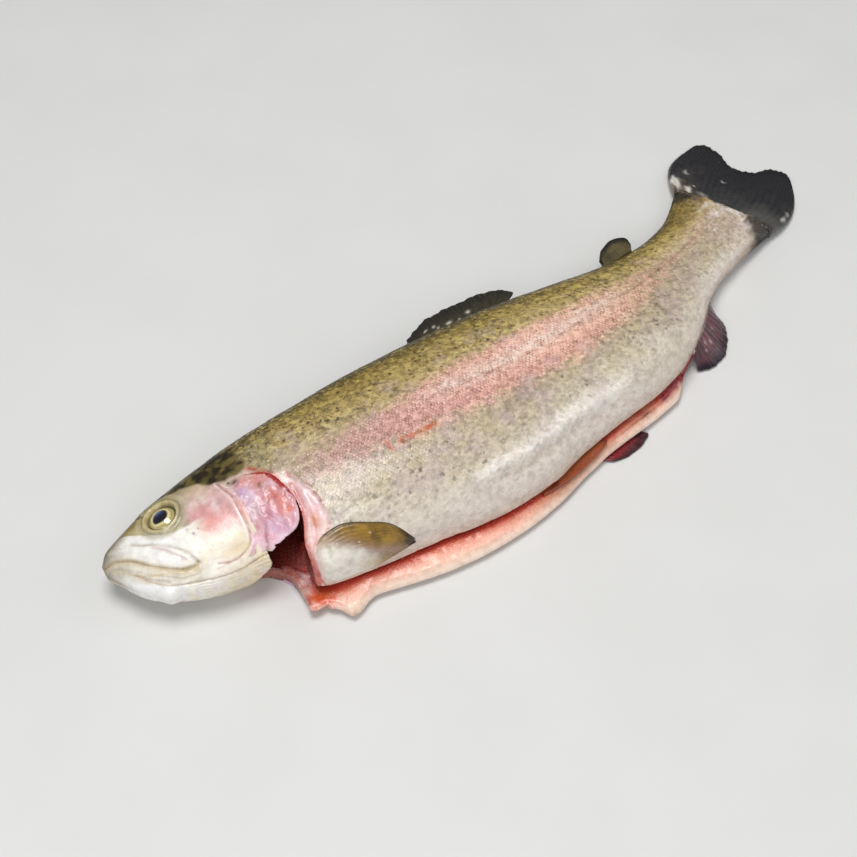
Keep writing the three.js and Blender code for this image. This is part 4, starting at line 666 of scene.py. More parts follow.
    # ------- shoulder flesh
    c = mixc(c, (172, 40, 32), np.clip(np.exp(-(K["redl"]/.95)**2)*(.85+.7*n3), 0, 1))
    g = K["gird"]
    gc = rampc(f + 4*n2, [(90, (216, 192, 180)), (104, (242, 208, 210)), (120, (240, 196, 200)), (134, (244, 208, 200)), (150, (230, 172, 162)), (170, (208, 128, 112))])
    c = c*(1-g)[:, None] + gc*g[:, None]
    gf = np.interp(f, GFRONT[:, 1], GFRONT[:, 0]); gb = np.interp(f, GBACK[:, 1], GBACK[:, 0])
    c = mixc(c, (184, 76, 66), np.clip(np.exp(-((s-gf-.1)/1.1)**2)*(f > 84)*.8*g, 0, 1))
    # pale streak before the rear edge: painted highlight
    c = mixc(c, (246, 222, 224), np.clip(np.exp(-((s-gb+1.5)/.7)**2)*(f > 98)*(f < 140)*(.7+.9*n3), 0, 1))
    c = mixc(c, (150, 64, 56), np.clip(np.exp(-((s-gb-.1)/.35)**2)*sm(f, 100, 108)*(f < 142)*.75, 0, 1))
    # lighter streak along the middle ridge: painted highlight
    c = mixc(c, (236, 186, 190), np.clip(np.exp(-((s-(gf+gb)/2-.4*n2)/.7)**2)*(f > 100)*g*(.5+.8*n3), 0, 1))
    # scattered white flecks: painted wet glints
    c = mixc(c, (250, 238, 236), g*(n3 > .42)*.6)
    c = mixc(c, (212, 130, 72), np.clip(np.exp(-(((s-69.8)/1.3)**2 + ((f-127)/5)**2))*.9*np.where(side > 0, 1, .2), 0, 1))
    c = mixc(c, (164, 44, 36), np.clip(np.exp(-(((s-61.5)/3.6)**2 + ((f-84.5-(s-58)*1.6)/2.6)**2))*.8*sm(s, 56, 60), 0, 1))
    EXTRA["ColB"] = np.clip(bcol, 0, 1); EXTRA["band"] = EXTRA["band"]*(1-g)
    return np.clip(c, 0, 1)
colr = paint_skin(BV, s_, f_, side_, K_)
# interior colours by place
def paint_inside(P, s, f):
    n1 = fbm(P, 1/9, 401); n2 = fbm(P, 1/3, 403); n3 = fbm(P, 1/1.3, 405)
    z = P[:, 2]
    x, y, tx, ty = spine_frame(s); w = -(P[:, 0]-x)*ty + (P[:, 1]-y)*tx
    c = rampc(z + 2*n2, [(0, (226, 168, 148)), (4, (232, 170, 152)), (8, (214, 140, 124)), (14, (170, 76, 66)), (24, (120, 36, 34))])
    # flap of the belly: pale outer edge, partly the white skin and partly a painted highlight; rosy inside, deepening
    # to dark red under the lip, partly the red flesh and partly painted shade under the overhanging lip
    vl_, vr_ = col(2, s), col(3, s); e = (w + vr_)/np.maximum(vr_-vl_, 2.5)
    flap = (z < 8.2) & (s > 57)
    fc = rampc(e + .10*n2, [(-.3, (248, 224, 206)), (.08, (252, 224, 206)), (.30, (248, 202, 180)), (.62, (242, 176, 154)), (.84, (236, 152, 126)), (.97, (226, 104, 76)), (1.12, (206, 74, 56)), (1.6, (142, 40, 32))])
    c = np.where(flap[:, None], fc, c)
    # cut edge of the upper lip
    lip = (z > 7.6) & (z < 11.5) & (w < -vl_+3.2) & (s > 66); c = np.where(lip[:, None], lin((216, 108, 86))[None]*(1+.25*n2[:, None]), c)
    # brownish stain along the lip towards the pelvic fins
    st = flap*np.exp(-((s-160)/17)**2)*np.exp(-((w+vl_+1.6)/2.0)**2); c = mixc(c, (176, 106, 62), np.clip(st*.9, 0, 1))
    # dark spot at the vent: painted shade standing in for the vent opening
    st = flap*np.exp(-((s-196.5)/2.6)**2)*np.exp(-((w+vl_+.9)/.9)**2); c = mixc(c, (84, 24, 26), np.clip(st*1.2, 0, 1))
    st = flap*sm(s, 180, 190)*(1-sm(s, 200, 206)); c = mixc(c, (196, 122, 90), np.clip(st*(.6+.5*n2)*sm(e, .25, .6), 0, 1))
    st = (z < 12)*sm(s, 202, 206)*np.exp(-((w+vl_+.4)/1.5)**2); c = mixc(c, (140, 14, 34), np.clip(st*1.15, 0, 1))
    # gill chamber: dark red, darkest deep inside; partly the red flesh and partly painted shade deeper in the chamber
    ch = (s > 48) & (s < 68) & (z > 7.0) & (w < 4) & ~((z < 8.6) & (w < -33))
    dk = rampc(z + 2*n2, [(6, (96, 16, 14)), (9, (76, 10, 9)), (16, (56, 7, 6)), (22, (92, 14, 12)), (27, (170, 46, 38)), (33, (196, 84, 74))])
    c = np.where(ch[:, None], dk, c)
    gfa = ch & (s > 61.5) & (w < -16)
    c = np.where(gfa[:, None], c*.35 + .65*rampc(z + 2*n2, [(7, (186, 92, 80)), (14, (176, 66, 60)), (22, (186, 84, 76)), (30, (216, 140, 130))]), c)
    ist = (s > 48) & (s < 59.5) & (z < 8.4); c = np.where(ist[:, None], rampc(z + 1.5*n2, [(0, (120, 52, 44)), (5, (170, 88, 72)), (7, (128, 46, 38)), (8.4, (96, 24, 20))]), c)
    pk = flap*np.exp(-((s-69)/9)**2)*(1-sm(e, .5, .9)); c = mixc(c, (234, 196, 184), np.clip(pk*(.55+.8*n2), 0, 1)); c = mixc(c, (196, 70, 58), np.clip(flap*np.exp(-((s-66)/9)**2)*sm(n3, .15, .5)*.7, 0, 1))
    # ragged throat: orange spot and pale tips
    for (p, r, q, k1) in (((-66.5, -35.0, 5), 3.9, (208, 82, 26), 1.25), ((-69.2, -30.0, 4), 2.0, (232, 214, 204), .6), ((-58.8, -45, 3), 3.2, (236, 206, 178), .9), ((-59.6, -47.2, 3), 1.5, (176, 126, 74), .9), ((-68.6, -40.0, 3), 2.0, (216, 176, 152), .9), ((-63.5, -38.5, 5), 2.2, (214, 110, 78), .6)):
        d_ = np.linalg.norm(P-np.array(p), axis=1); c = mixc(c, q, np.clip(np.exp(-(d_/r)**2)*k1*(.9+.5*n3), 0, 1))
    return np.clip(c*(1+.10*n3[:, None]), 0, 1)
ins = paint_inside(BV, s_, f_)
# lower belly wall seen from outside is skin below and cut flesh at its rim
rim = (side_ <= 0) & (s_ > 56) & (s_ < 226)
vrr = col(3, s_); x_, y_, tx_, ty_ = spine_frame(s_); w_ = -(BV[:, 0]-x_)*ty_ + (BV[:, 1]-y_)*tx_
rimm = np.where(rim, sm(-w_, vrr-5.5, vrr-1.0)*sm(BV[:, 2], .3, 1.6), 0)
colr = colr*(1-rimm)[:, None] + ins*rimm[:, None]
C = np.where(onskin[:, None], colr, ins)
hz = np.interp(f_, [0, 60, 84, 92], [1, 1, 1, 0]); zh0 = 61 + 3*fbm(BV, 1/5, 507); zone_head = (1-sm(s_, zh0-3, zh0+4))*(1-hz) + (1-sm(s_ + 3*fbm(BV, 1/4, 508), 54, 60))*hz
scale_amt = (1-zone_head)*(1-K_["gird"])*(1-rimm); scale_amt *= .35+.65*(1-sm(f_, 118, 165))
net = (1-zone_head)*(1-K_["gird"])*np.clip(EXTRA["band"]*1.15+.16, 0, 1)*(1-rimm)
spot = (1-zone_head)*sm(f_, 94, 108)*(1-sm(f_, 130, 154))*np.interp(s_, [66, 80, 230, 262, 290], [.7, 1.0, .95, .7, .5])*(1-K_["gird"])
spot = spot + (1-zone_head)*.75*np.exp(-((f_-72)/16)**2)
fleck = ((1-zone_head)*(1-sm(f_ + 6*fbm(BV, 1/6, 501), 62, 90))*.95 + (1-zone_head)*.20*(1-sm(f_, 120, 160)))*(1-K_["gird"])*(1-EXTRA["band"]*.7)*(1-.75*sm(s_, 250, 284))
glint = (1-zone_head)*np.clip(.22+.8*np.exp(-((f_-86)/15)**2)+.9*np.exp(-((s_-68)/12)**2)*(f_ < 96), 0, 1)*(1-rimm)
wet = np.clip(.5+.5*fbm(BV, 1/20, 503), 0, 1)
paint(body, {"Col": C, "ColB": EXTRA["ColB"]}, {"band": np.stack([EXTRA["band"]*onskin*(1-rimm), 0*s_, 0*s_], 1), "sa": np.stack([s_, a_, f_], 1), "msk": np.stack([scale_amt, np.clip(spot, 0, 1), np.clip(fleck, 0, 1)], 1), "msk2": np.stack([glint, wet, np.clip(net, 0, 1)], 1)})
me = body.data; me.polygons.foreach_set("use_smooth", np.ones(len(me.polygons), bool)); me.set_sharp_from_angle(angle=math.radians(48))
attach(body, "root"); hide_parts("body")

# ------------------------------------------------------------------ generic closed shell from an outer and an inner sheet
def shell(name, O, I, colors, uv, mat, node):
    r, c, _ = O.shape; V = np.concatenate([O.reshape(-1, 3), I.reshape(-1, 3)]); n = r*c
    F = [grid_faces(r, c), grid_faces(r, c, base=n)[:, ::-1]]
    rim_ = [(0, j_) for j_ in range(c-1)] + [(i_, c-1) for i_ in range(r-1)] + [(r-1, j_) for j_ in range(c-1, 0, -1)] + [(i_, 0) for i_ in range(r-1, 0, -1)]
    q = np.array([i_*c+j_ for i_, j_ in rim_]); q2 = np.roll(q, -1)
    F.append(np.stack([q, q+n, q2+n, q2], 1)); F = np.concatenate(F)
    T = np.concatenate([F[:, [0, 1, 2]], F[:, [0, 2, 3]]])
    a, b, c_ = V[T[:, 0]], V[T[:, 1]], V[T[:, 2]]
    if np.einsum("ij,ij->i", a-V.mean(0), np.cross(b-V.mean(0), c_-V.mean(0))).sum() < 0: F = F[:, ::-1]
    ob = make(name, V, F, {"Col": np.concatenate([colors.reshape(-1, 3)]*2)}, {"sa": np.concatenate([uv.reshape(-1, 3)]*2)}, material=mat)
    ob.data.set_sharp_from_angle(angle=math.radians(60))
    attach(ob, "root"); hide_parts(node)
    return ob
def rim_profile(U, Vv, wu, wv):
    """0 at the border, 1 inside; round edges."""
    t = np.minimum.reduce([np.clip(U/wu, 0, 1), np.clip((1-U)/wu, 0, 1), np.clip(Vv/wv, 0, 1), np.clip((1-Vv)/wv, 0, 1)])
    return np.sqrt(np.clip(1-(1-t)**2, 0, 1))

# ------------------------------------------------------------------ gill covers
COVER = np.array([(76,46.2,50.0),(80,47.0,55.4),(84.5,48,59.3),(91,48.4,62.4),(98,48.6,64.1),(104.6,48.7,65.5),(110.4,48.7,66.1),(116.5,48.5,65.8),(122.6,48.3,64.8),(128.2,48,62.4),(133,47.6,59.6),(138.5,46.8,56.9),(145,45.2,54.4),(151,43.6,52.0)], float)
GILL = None
def gill_material():
    m, nt, b = new_mat("gill_cover_skin"); n = N(nt); P = n.obj(); base = n.attr("Col")
    f1 = n.noise(P, .28, 5, .65, dist=.8); f2 = n.noise(P, 1.2, 4, .65)
    c = n.mix(n.ramp(f1, .50, .66, 0, .42), base, rgba((232, 206, 222)))
    c = n.mix(n.ramp(f1, .50, .32, 0, .34), c, rgba((216, 132, 128)), "MULTIPLY")
    c = n.mix(n.ramp(f2, .55, .8, 0, .25), c, (1, .97, .95, 1), "SOFT_LIGHT")
    nt.links.new(c, b.inputs["Base Color"]); nt.links.new(n.ramp(f2, .3, .7, .18, .36), b.inputs["Roughness"])
    b.inputs["Coat Weight"].default_value = .38; b.inputs["Coat Roughness"].default_value = .14; b.inputs["Specular IOR Level"].default_value = .55
    b.inputs["Subsurface Weight"].default_value = .08; b.inputs["Subsurface Radius"].default_value = (.004, .002, .001); b.inputs["Subsurface Scale"].default_value = .6
    nt.links.new(n.bump(n.noise(P, .8, 5, .62, dist=.5), .35, .0005), b.inputs["Normal"])
    return m
GILL = gill_material()
def gill_cover(side, name, node):
    nr, nc = 110, 84
    F = np.linspace(76, 151 if side > 0 else 127, nr)[:, None]*np.ones((1, nc)); U = np.linspace(0, 1, nc)[None]*np.ones((nr, 1)); Vv = (F-76)/75
    s0 = pchip(COVER[:, 0], COVER[:, 1], F[:, 0])[:, None]; s1 = pchip(COVER[:, 0], COVER[:, 2], F[:, 0])[:, None]
    s1 = s1 + .7*(1-sm(F[:, :1], 108, 118))*sm(F[:, :1], 78, 84) + .35*fbm(np.stack([F[:, 0]*.3, 0*F[:, 0], 0*F[:, 0]], 1), .6, 601)[:, None]
    # small notches low on the rear edge
    s1 = s1 - .8*np.exp(-((F[:, :1]-144.5)/1.2)**2) - .4*np.exp(-((F[:, :1]-136)/1.0)**2)
    s = s0 + .35 + (s1-s0-.35)*U
    phi = side*F*D2R; B = skin(s, phi); Nn = skin_n(s, phi)
    e = rim_profile(U, Vv, .09, .045)
    lift = .15 + .75*sm(U, .45, 1.0)*sm(Vv, .05, .3)
    d = lift*e
    # groove along the edge of the lower plate, growth ridges, dents
    sub = F + 12*(U-.5)
    line = np.exp(-((s - np.interp(F, [118, 128, 135.5, 144.5, 150], [54.5, 53.2, 52.2, 51.5, 50.8]))/.45)**2)*sm(F, 120, 127)
    d += -.35*line + .16*np.sin((s-47)*1.9 + .06*F)*sm(U, .1, .3)*.35
    P = B; n1, n2, n3 = fbm(P, 1/6, 611), fbm(P, 1/2.4, 613), fbm(P, 1/1.1, 617)
    d += .40*n1*e + .2*n2*e - .22*np.exp(-((np.abs(n1-.05)+.02)/.05)**2)*e*sm(U, .15, .4)
    if side < 0: d = np.minimum(d, .05)
    O = B + Nn*d[..., None]; I = B + Nn*(-.9*e - .12 + np.minimum(d, 0))[..., None]
    if side > 0: I = B + Nn*(d - .15 - 1.1*e)[..., None]
    else: I = B + Nn*(np.minimum(d, 0) - .15 - 1.1*e)[..., None]
    O[..., 2] = np.maximum(O[..., 2], .0); I[..., 2] = np.maximum(I[..., 2], .02)
    c = rampc((F + 4*n1).ravel(), [(76, (208, 192, 166)), (81, (210, 186, 166)), (88, (212, 168, 160)), (98, (210, 164, 170)), (108, (202, 150, 156)), (114, (208, 150, 156)), (126, (212, 160, 174)), (136, (238, 194, 212)), (146, (222, 188, 192)), (151, (216, 190, 170))])
    s_f, F_f, n2f, n3f, Uf = s.ravel(), F.ravel(), n2.ravel(), n3.ravel(), U.ravel()
    # the pale lavender spot at the lower rear corner, at (58.5, 136), is a painted highlight
    for (ps, pf, r1, r2, colr, k1) in ((60.8, 106, 3.4, 8, (212, 118, 108), .9), (62, 116, 2.6, 4, (226, 122, 96), .9), (51.5, 93, 2.6, 9, (200, 172, 204), .9), (54, 85, 4, 4, (214, 140, 134), .7), (58.5, 90, 3.5, 5, (216, 132, 130), .65), (56, 103, 1.6, 6, (198, 124, 134), .55), (54.2, 99, 1.0, 8, (240, 214, 232), .6), (57.6, 121, 1.4, 8, (232, 190, 214), .7),
                                       (51.5, 112, 2.6, 8, (214, 196, 206), .8), (55.5, 116, 2.5, 5, (180, 112, 124), .55), (56, 128, 4, 5, (206, 170, 200), .7), (58.5, 136, 3, 4, (244, 222, 240), .8), (51, 130, 2, 10, (206, 150, 148), .5)):
        q = ((s_f-ps)/r1)**2 + ((F_f-pf)/r2)**2; c = mixc(c, colr, np.clip(np.exp(-q)*k1*(.9+.8*n2f+.5*n3f), 0, 1))
        c = mixc(c, (168, 36, 30), np.clip(sm(Uf + .1*n2f, .86, .96)*(1-sm(F_f, 96, 112))*sm(F_f, 77, 82)*1.0, 0, 1))
    for (ps, pf, rr, colr) in ((51.2, 81.6, 1.35, (78, 50, 22)), (58.0, 94.0, 1.1, (140, 84, 36)), (49.4, 79.0, .9, (90, 64, 34))):
        q = np.hypot(s_f-ps, (F_f-pf)*.5); c = mixc(c, colr, np.clip(np.exp(-(q/rr)**2)*.95, 0, 1))
    c = mixc(c, (244, 230, 236), np.clip(sm(Uf, .90, 1)*sm(F_f, 104, 116)*.55, 0, 1))
    c = mixc(c, (250, 244, 240), np.clip(np.exp(-((Uf-.03)/.03)**2)*.5, 0, 1))
    c = mixc(c, (150, 86, 84), np.clip(line.ravel()*.6, 0, 1))
    c = c.reshape(nr, nc, 3)
    return shell(name, O, I, c, np.stack([s, F, 0*s], -1), GILL, node)
gill_cover(1, "gill_cover_left_skin", "gill_cover_left"); gill_cover(-1, "gill_cover_right_skin", "gill_cover_right")

# ------------------------------------------------------------------ eyes
def eye_material():
    m, nt, b = new_mat("eye_wet"); n = N(nt); base = n.attr("Col"); P = n.obj()
    f = n.noise(P, 1.6, 4, .6); c = n.mix(n.ramp(f, .4, .7, 0, .25), base, (.9, .85, .6, 1), "SOFT_LIGHT")
    nt.links.new(c, b.inputs["Base Color"]); nt.links.new(n.ramp(f, .3, .7, .05, .14), b.inputs["Roughness"])
    b.inputs["Coat Weight"].default_value = 1.0; b.inputs["Coat Roughness"].default_value = .03; b.inputs["Specular IOR Level"].default_value = .6
    nt.links.new(n.bump(f, .06, .0003), b.inputs["Normal"]); return m
EYE = eye_material()
def eye(side, name, node):
    phi = side*71.0*D2R; c0 = skin(23.4, phi); n0_ = skin_n(23.4, phi)
    t1 = np.array([-1.0, 0, 0]); t1 -= n0_*(t1@n0_); t1 /= np.linalg.norm(t1); t2 = np.cross(n0_, t1)
    nr, nc = 60, 72; th = np.linspace(0, np.pi, nr)[:, None]; ph = (np.arange(nc)/nc*2*np.pi)[None]
    r = 5.35*np.sin(th)*np.ones_like(ph); zz = 2.9*np.cos(th)*np.ones_like(ph)
    zz += np.where(np.cos(th) > 0, .45*np.exp(-(r/2.7)**2), 0)
    sink = 2.45 if side > 0 else 3.0
    V = c0 + t1*(r*np.cos(ph))[..., None] + t2*(r*np.sin(ph))[..., None] + n0_*(zz-sink)[..., None]
    # pupil is slightly pointed towards the snout
    pr = 2.72*(1 + .20*np.exp(-((np.angle(np.exp(1j*(ph-.35))))/.55)**2) + 0*th)
    q = r/pr; front = np.cos(th) > -.1
    Vf = V.reshape(-1, 3); rf, qf = r.ravel(), q.ravel(); ang = (ph+0*th).ravel()
    n1 = fbm(Vf, 1/1.2, 701); n2 = fbm(Vf, 1/.5, 703)
    c = rampc(rf + .25*n1, [(0, (190, 172, 110)), (2.9, (206, 190, 128)), (3.4, (206, 192, 134)), (3.9, (176, 160, 104)), (4.4, (190, 178, 132)), (4.8, (128, 116, 76)), (5.35, (84, 76, 52))])
    c = mixc(c, (150, 140, 84), np.clip(.5*np.clip(n2, 0, 1)*(rf < 4.8), 0, 1))
    c = mixc(c, (246, 236, 196), np.clip(np.exp(-((qf-1.16)/.08)**2)*.6, 0, 1))
    pup = 1-sm(qf, .94, 1.05)
    c = mixc(c, (10, 13, 26), pup)
    # blue patch in the pupil: painted reflection
    c = mixc(c, (44, 66, 128), np.clip(pup*np.exp(-(((rf*np.cos(ang)+.2)/1.3)**2 + ((rf*np.sin(ang)+1.0)/.9)**2))*.8, 0, 1))
    c[~(front+0*r > 0).ravel()] = lin((70, 62, 50))
    F = grid_faces(nr, nc, True); V2, T2, first2 = weld(Vf, np.concatenate([F[:, [0, 1, 2]], F[:, [0, 2, 3]]])); V2, T2 = orient(V2-c0, T2); V2 = V2 + c0
    V2[:, 2] = np.maximum(V2[:, 2], .02)
    ob = make(name, V2, T2, {"Col": c[first2]}, {"sa": V2*0}, material=EYE)
    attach(ob, "root"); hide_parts(node)
eye(1, "eye_left_ball", "eye_left"); eye(-1, "eye_right_ball", "eye_right")

# ------------------------------------------------------------------ fins
def fin(name, node, base, tip, zb, zt, mat, paintf, nu=60, nv_=90, rays=16, thick=(1.6, .5), bulge=0.0, ragged=.6, seed=900, curve=0.0, ray_amp=.16, bend=None, taper=1.0):
    """base and tip: matching points in (station, offset); zb, zt: mid height at root and tip."""
    v = np.linspace(0, 1, nv_); b = np.array(base, float); t = np.array(tip, float)
    kb = np.linspace(0, 1, len(b)); kt = np.linspace(0, 1, len(t))
    Bs, Bw = pchip(kb, b[:, 0], v), pchip(kb, b[:, 1], v); Ts, Tw = pchip(kt, t[:, 0], v), pchip(kt, t[:, 1], v)
    u = np.linspace(0, 1, nu)[:, None]
    rag = ragged*(fbm(np.stack([v*rays*.9, 0*v, 0*v], 1), 1.0, seed, 2)*.6 - .35*np.abs(np.cos(np.pi*v*rays)))
    ln = np.hypot(Ts-Bs, Tw-Bw); uu = u*(1 + (rag/np.maximum(ln, 1))[None]*sm(u, .6, 1))
    s = Bs + (Ts-Bs)*uu; w = Bw + (Tw-Bw)*uu + bulge*(1-2*v)*4*uu*(1-uu)
    s = s + curve*4*uu*(1-uu)
    zbv = zb(v) if callable(zb) else zb; ztv = zt(v) if callable(zt) else zt
    z = zbv + (ztv-zbv)*(u if bend is None else bend(u))
    br = np.where(u > .55, 2.0, 1.0)
    ray = np.abs(np.sin(np.pi*v[None]*rays)); ray2 = np.abs(np.sin(np.pi*v[None]*rays*2)); q = sm(u, .45, .75)
    prof = (ray**1.5)*(1-q) + (ray2**1.5)*q
    e = rim_profile(u+0*v, v+0*u, .03, .025)
    th = (thick[1]+(thick[0]-thick[1])*(1-u)**taper)*(.62+.38*e)*.5
    P = place(s, w, z + 0*s); n1 = fbm(P, 1/3, seed+1); n2 = fbm(P, 1/9, seed+2)
    up = th*e + ray_amp*(prof-.3)*e + .08*n1*e
    z = z + .35*n2*sm(u, .1, .6)
    zo, zi = z + up, z - th*e - ray_amp*.4*(prof-.3)*e
    lift = np.maximum(0, .03 - zi); zo = np.maximum(zo + lift*.6, zi+lift+.12); zi = zi + lift
    O, I = place(s, w, zo), place(s, w, zi)
    c = paintf(u + 0*v, v + 0*u, s, w, P, prof, n1)
    return shell(name, O, I, c, np.stack([s, v*rays+0*u, 0*s], -1), mat, node)
def mixg(c, colr, m): return c*(1-m[..., None]) + lin(colr)*m[..., None]
DARK = membrane_material("fin_dark_skin", speck=(190, 184, 168), speck_amt=.55)
TAILM = membrane_material("fin_tail_skin", speck=(120, 112, 108), speck_amt=.25)
REDM = membrane_material("fin_red_skin", speck=(214, 170, 170), speck_amt=.25)
GOLD = membrane_material("fin_gold_skin", rough=(.16, .34), bump_=.25)

def paint_tail(u, v, s, w, P, prof, n1):
    c = np.zeros(u.shape+(3,)) + lin((26, 25, 29)); big = fbm(P, 1/8, 931)
    c = mixg(c, (50, 46, 50), np.clip(prof*.7*(1-u*.5)*(.6+.9*n1), 0, 1)); c = mixg(c, (66, 62, 60), np.clip(big*1.6, 0, 1)*.5*(1-sm(u, .5, .8)))
    c = mixg(c, (116, 97, 70), np.clip((1-sm(u + .15*big + .10*n1, .12, .36))*.9*(1-sm(v, .10, .26)), 0, 1))
    c = mixg(c, (84, 84, 80), np.clip(sm(v, .55, .75)*(1-sm(u + .12*big + .06*n1, .12, .42))*.8, 0, 1))
    rb_ = (1-sm(u*36 + 3.4*n1 + 3.0*big, .6, 3.4)); c = mixg(c, (168, 152, 132), np.clip(rb_*sm(v, .16, .30)*(1-sm(v, .66, .80)), 0, 1)); c = mixg(c, (70, 56, 34), np.clip(rb_*(1-sm(v, .16, .30)), 0, 1)); c = mixg(c, (54, 48, 44), np.clip(rb_*sm(v, .70, .80), 0, 1))
    c = mixg(c, (234, 226, 220), np.clip(np.exp(-((u*36-1.6-2.6*big-1.2*n1)/.7)**2)*sm(v, .34, .42)*(1-sm(v, .66, .78))*np.clip(.6+1.4*n1, 0, 1), 0, 1))
    c = mixg(c, (16, 15, 17), np.clip(sm(u, .86, 1.0)*.9 + sm(np.abs(v-.5), .46, .5)*.6*sm(u, .3, .6), 0, 1))
    for (uu, vv, ru, rv, k) in ((.17, .052, .10, .036, 2.6), (.11, .155, .040, .030, 2.0), (.30, .045, .03, .014, 1.2), (.21, .21, .018, .014, .9), (.42, .14, .03, .025, .5), (.62, .42, .02, .02, .5), (.30, .97, .05, .02, .6), (.40, .965, .03, .02, .6), (.12, .30, .04, .05, .45), (.05, .42, .03, .08, .5)):
        c = mixg(c, (226, 220, 214), np.clip(np.exp(-(((u-uu+.05*n1)/ru)**2+((v-vv+.015*n1)/rv)**2)**1.4)*k*(.75+.8*n1), 0, 1)*.92)
    return c
TAIL_TIP = [(328.5,30.2),(334.4,28.8),(336.9,25.5),(336.8,21.0),(334.6,16.8),(332.0,13.0),(331,9.8),(330.8,6.5),(331.5,3.1),(333.5,-.2),(336.2,-2.7),(338.6,-5.2),(339.5,-8.2),(338.6,-11.4),(334.5,-15.4)]
fin("tail_fin_web", "tail_fin", [(299.6,22.3),(300.0,12),(300.2,1),(300.0,-11),(298.6,-21.2)], TAIL_TIP, 4.2, .75, TAILM, paint_tail,
    nu=110, nv_=210, rays=19, thick=(5.4, .8), bulge=5.4, ragged=1.3, seed=930, ray_amp=.24, bend=lambda u: 1-(1-u)**1.6, taper=2.6)
def paint_dorsal(u, v, s, w, P, prof, n1):
    c = np.zeros(u.shape+(3,)) + lin((52, 46, 30)); c = mixg(c, (30, 27, 22), np.clip(sm(u, .30, .8)*.9, 0, 1)); c = mixg(c, (84, 76, 52), np.clip(prof*.35*(1-u), 0, 1))
    d = np.clip(fbm(P, 1/2.2, 951)*2-.5, 0, 1); c = mixg(c, (26, 24, 18), d*.8); c = mixg(c, (24, 22, 18), np.clip(sm(u, .9, 1)*.9, 0, 1))
    for (uu, vv, rv) in ((.22, .13, .030), (.50, .18, .018), (.44, .26, .014), (.30, .40, .026), (.24, .50, .012), (.40, .585, .024), (.50, .66, .020), (.62, .80, .022), (.30, .30, .012)):
        c = mixg(c, (214, 206, 192), np.clip(np.exp(-((u-uu+.10*n1)/.055)**2-((v-vv)/rv)**2), 0, 1)*np.clip(.7+1.5*n1, 0, 1))
    return c
fin("dorsal_fin_web", "dorsal_fin", [(140.5,39.2),(150,39.2),(160,38.6),(170,37.6),(180,36.2),(184,35.6)], [(141.6,42.9),(147.0,46.2),(152.8,48.3),(158.7,49.4),(164.3,49.6),(169.9,49.2),(175.6,48.4),(182,47.8),(188.6,45.9),(193.8,43.2),(197.0,39.6)],
    lambda v: 17.1-.04*43*v, lambda v: 16.6-.05*43*v, DARK, paint_dorsal, nu=46, nv_=150, rays=13, thick=(2.2, .5), ragged=.9, seed=950, curve=2.0, ray_amp=.28)
def paint_adip(u, v, s, w, P, prof, n1):
    c = np.zeros(u.shape+(3,)) + lin((96, 86, 54)); c = mixg(c, (24, 22, 18), np.clip(sm(u + .1*n1, .60, .88)+sm(np.abs(v-.5), .40, .48)*sm(u, .2, .5), 0, 1)); return mixg(c, (50, 44, 26), np.clip(.3+n1*1.5, 0, 1)*.6)
fin("adipose_fin_web", "adipose_fin", [(239,22.6),(244,21.6),(249.5,20.2),(254.5,19.0)], [(241.6,27.0),(247.8,29.4),(252.6,29.5),(257.0,28.0),(259.4,24.6),(257.6,21.2)], 10.8, 11.0, DARK, paint_adip, nu=36, nv_=50, rays=3, thick=(2.4, .9), ragged=.2, seed=960, ray_amp=.04)
def paint_anal(u, v, s, w, P, prof, n1):
    c = np.zeros(u.shape+(3,)) + lin((76, 50, 58)); c = mixg(c, (112, 80, 88), np.clip(prof*.5, 0, 1)); c = mixg(c, (140, 60, 62), np.clip(n1*1.2, 0, 1)*.6)
    c = mixg(c, (30, 18, 30), np.clip(sm(u + .15*n1, .55, .95), 0, 1)*.95); c = mixg(c, (210, 190, 186), np.clip((1-sm(u, .0, .12)), 0, 1)*.6)
    for (uu, vv) in ((.3, .25), (.42, .33), (.22, .12), (.5, .2), (.35, .5), (.62, .62)):
        c = mixg(c, (206, 186, 182), np.clip(np.exp(-((u-uu)/.07)**2-((v-vv)/.014)**2), 0, 1)*np.clip(.35+1.3*n1, 0, 1))
    return c
fin("anal_fin_web", "anal_fin", [(227.5,-25.8),(236,-23.2),(244,-20.2),(251,-17.6)], [(225.6,-30.6),(228.5,-33.2),(232,-34.3),(236,-34.5),(240,-33.2),(244,-30.9),(247.5,-28.8),(249.6,-26.2),(250.6,-23.4),(251.9,-20.4)],
    8.0, .9, REDM, paint_anal, nu=60, nv_=90, rays=12, thick=(2.0, .5), ragged=.8, seed=970, ray_amp=.22)
def paint_pelR(u, v, s, w, P, prof, n1):
    c = np.zeros(u.shape+(3,)) + lin((116, 12, 26)); c = mixg(c, (158, 36, 44), np.clip(prof*.5, 0, 1)); return mixg(c, (36, 8, 14), np.clip(sm(u + .2*n1, .62, .95), 0, 1)*.9)
fin("pelvic_fin_right_web", "pelvic_fin_right", [(173,-28),(173.2,-33.4)], [(192,-31.5),(194.2,-36.2),(191.2,-38),(187.8,-38.9),(183,-38.9),(177,-37.4)], .9, .7, REDM, paint_pelR, nu=50, nv_=50, rays=8, thick=(1.2, .7), ragged=.5, seed=980, ray_amp=.1)
def paint_pelL(u, v, s, w, P, prof, n1):
    c = np.zeros(u.shape+(3,)) + lin((168, 92, 52)); c = mixg(c, (132, 50, 20), np.clip(sm(1-v + .3*n1, .25, .8), 0, 1)*.85); c = mixg(c, (206, 134, 98), np.clip(prof*.22, 0, 1)); return mixg(c, (100, 42, 22), np.clip(n1*1.6, 0, 1)*.7)
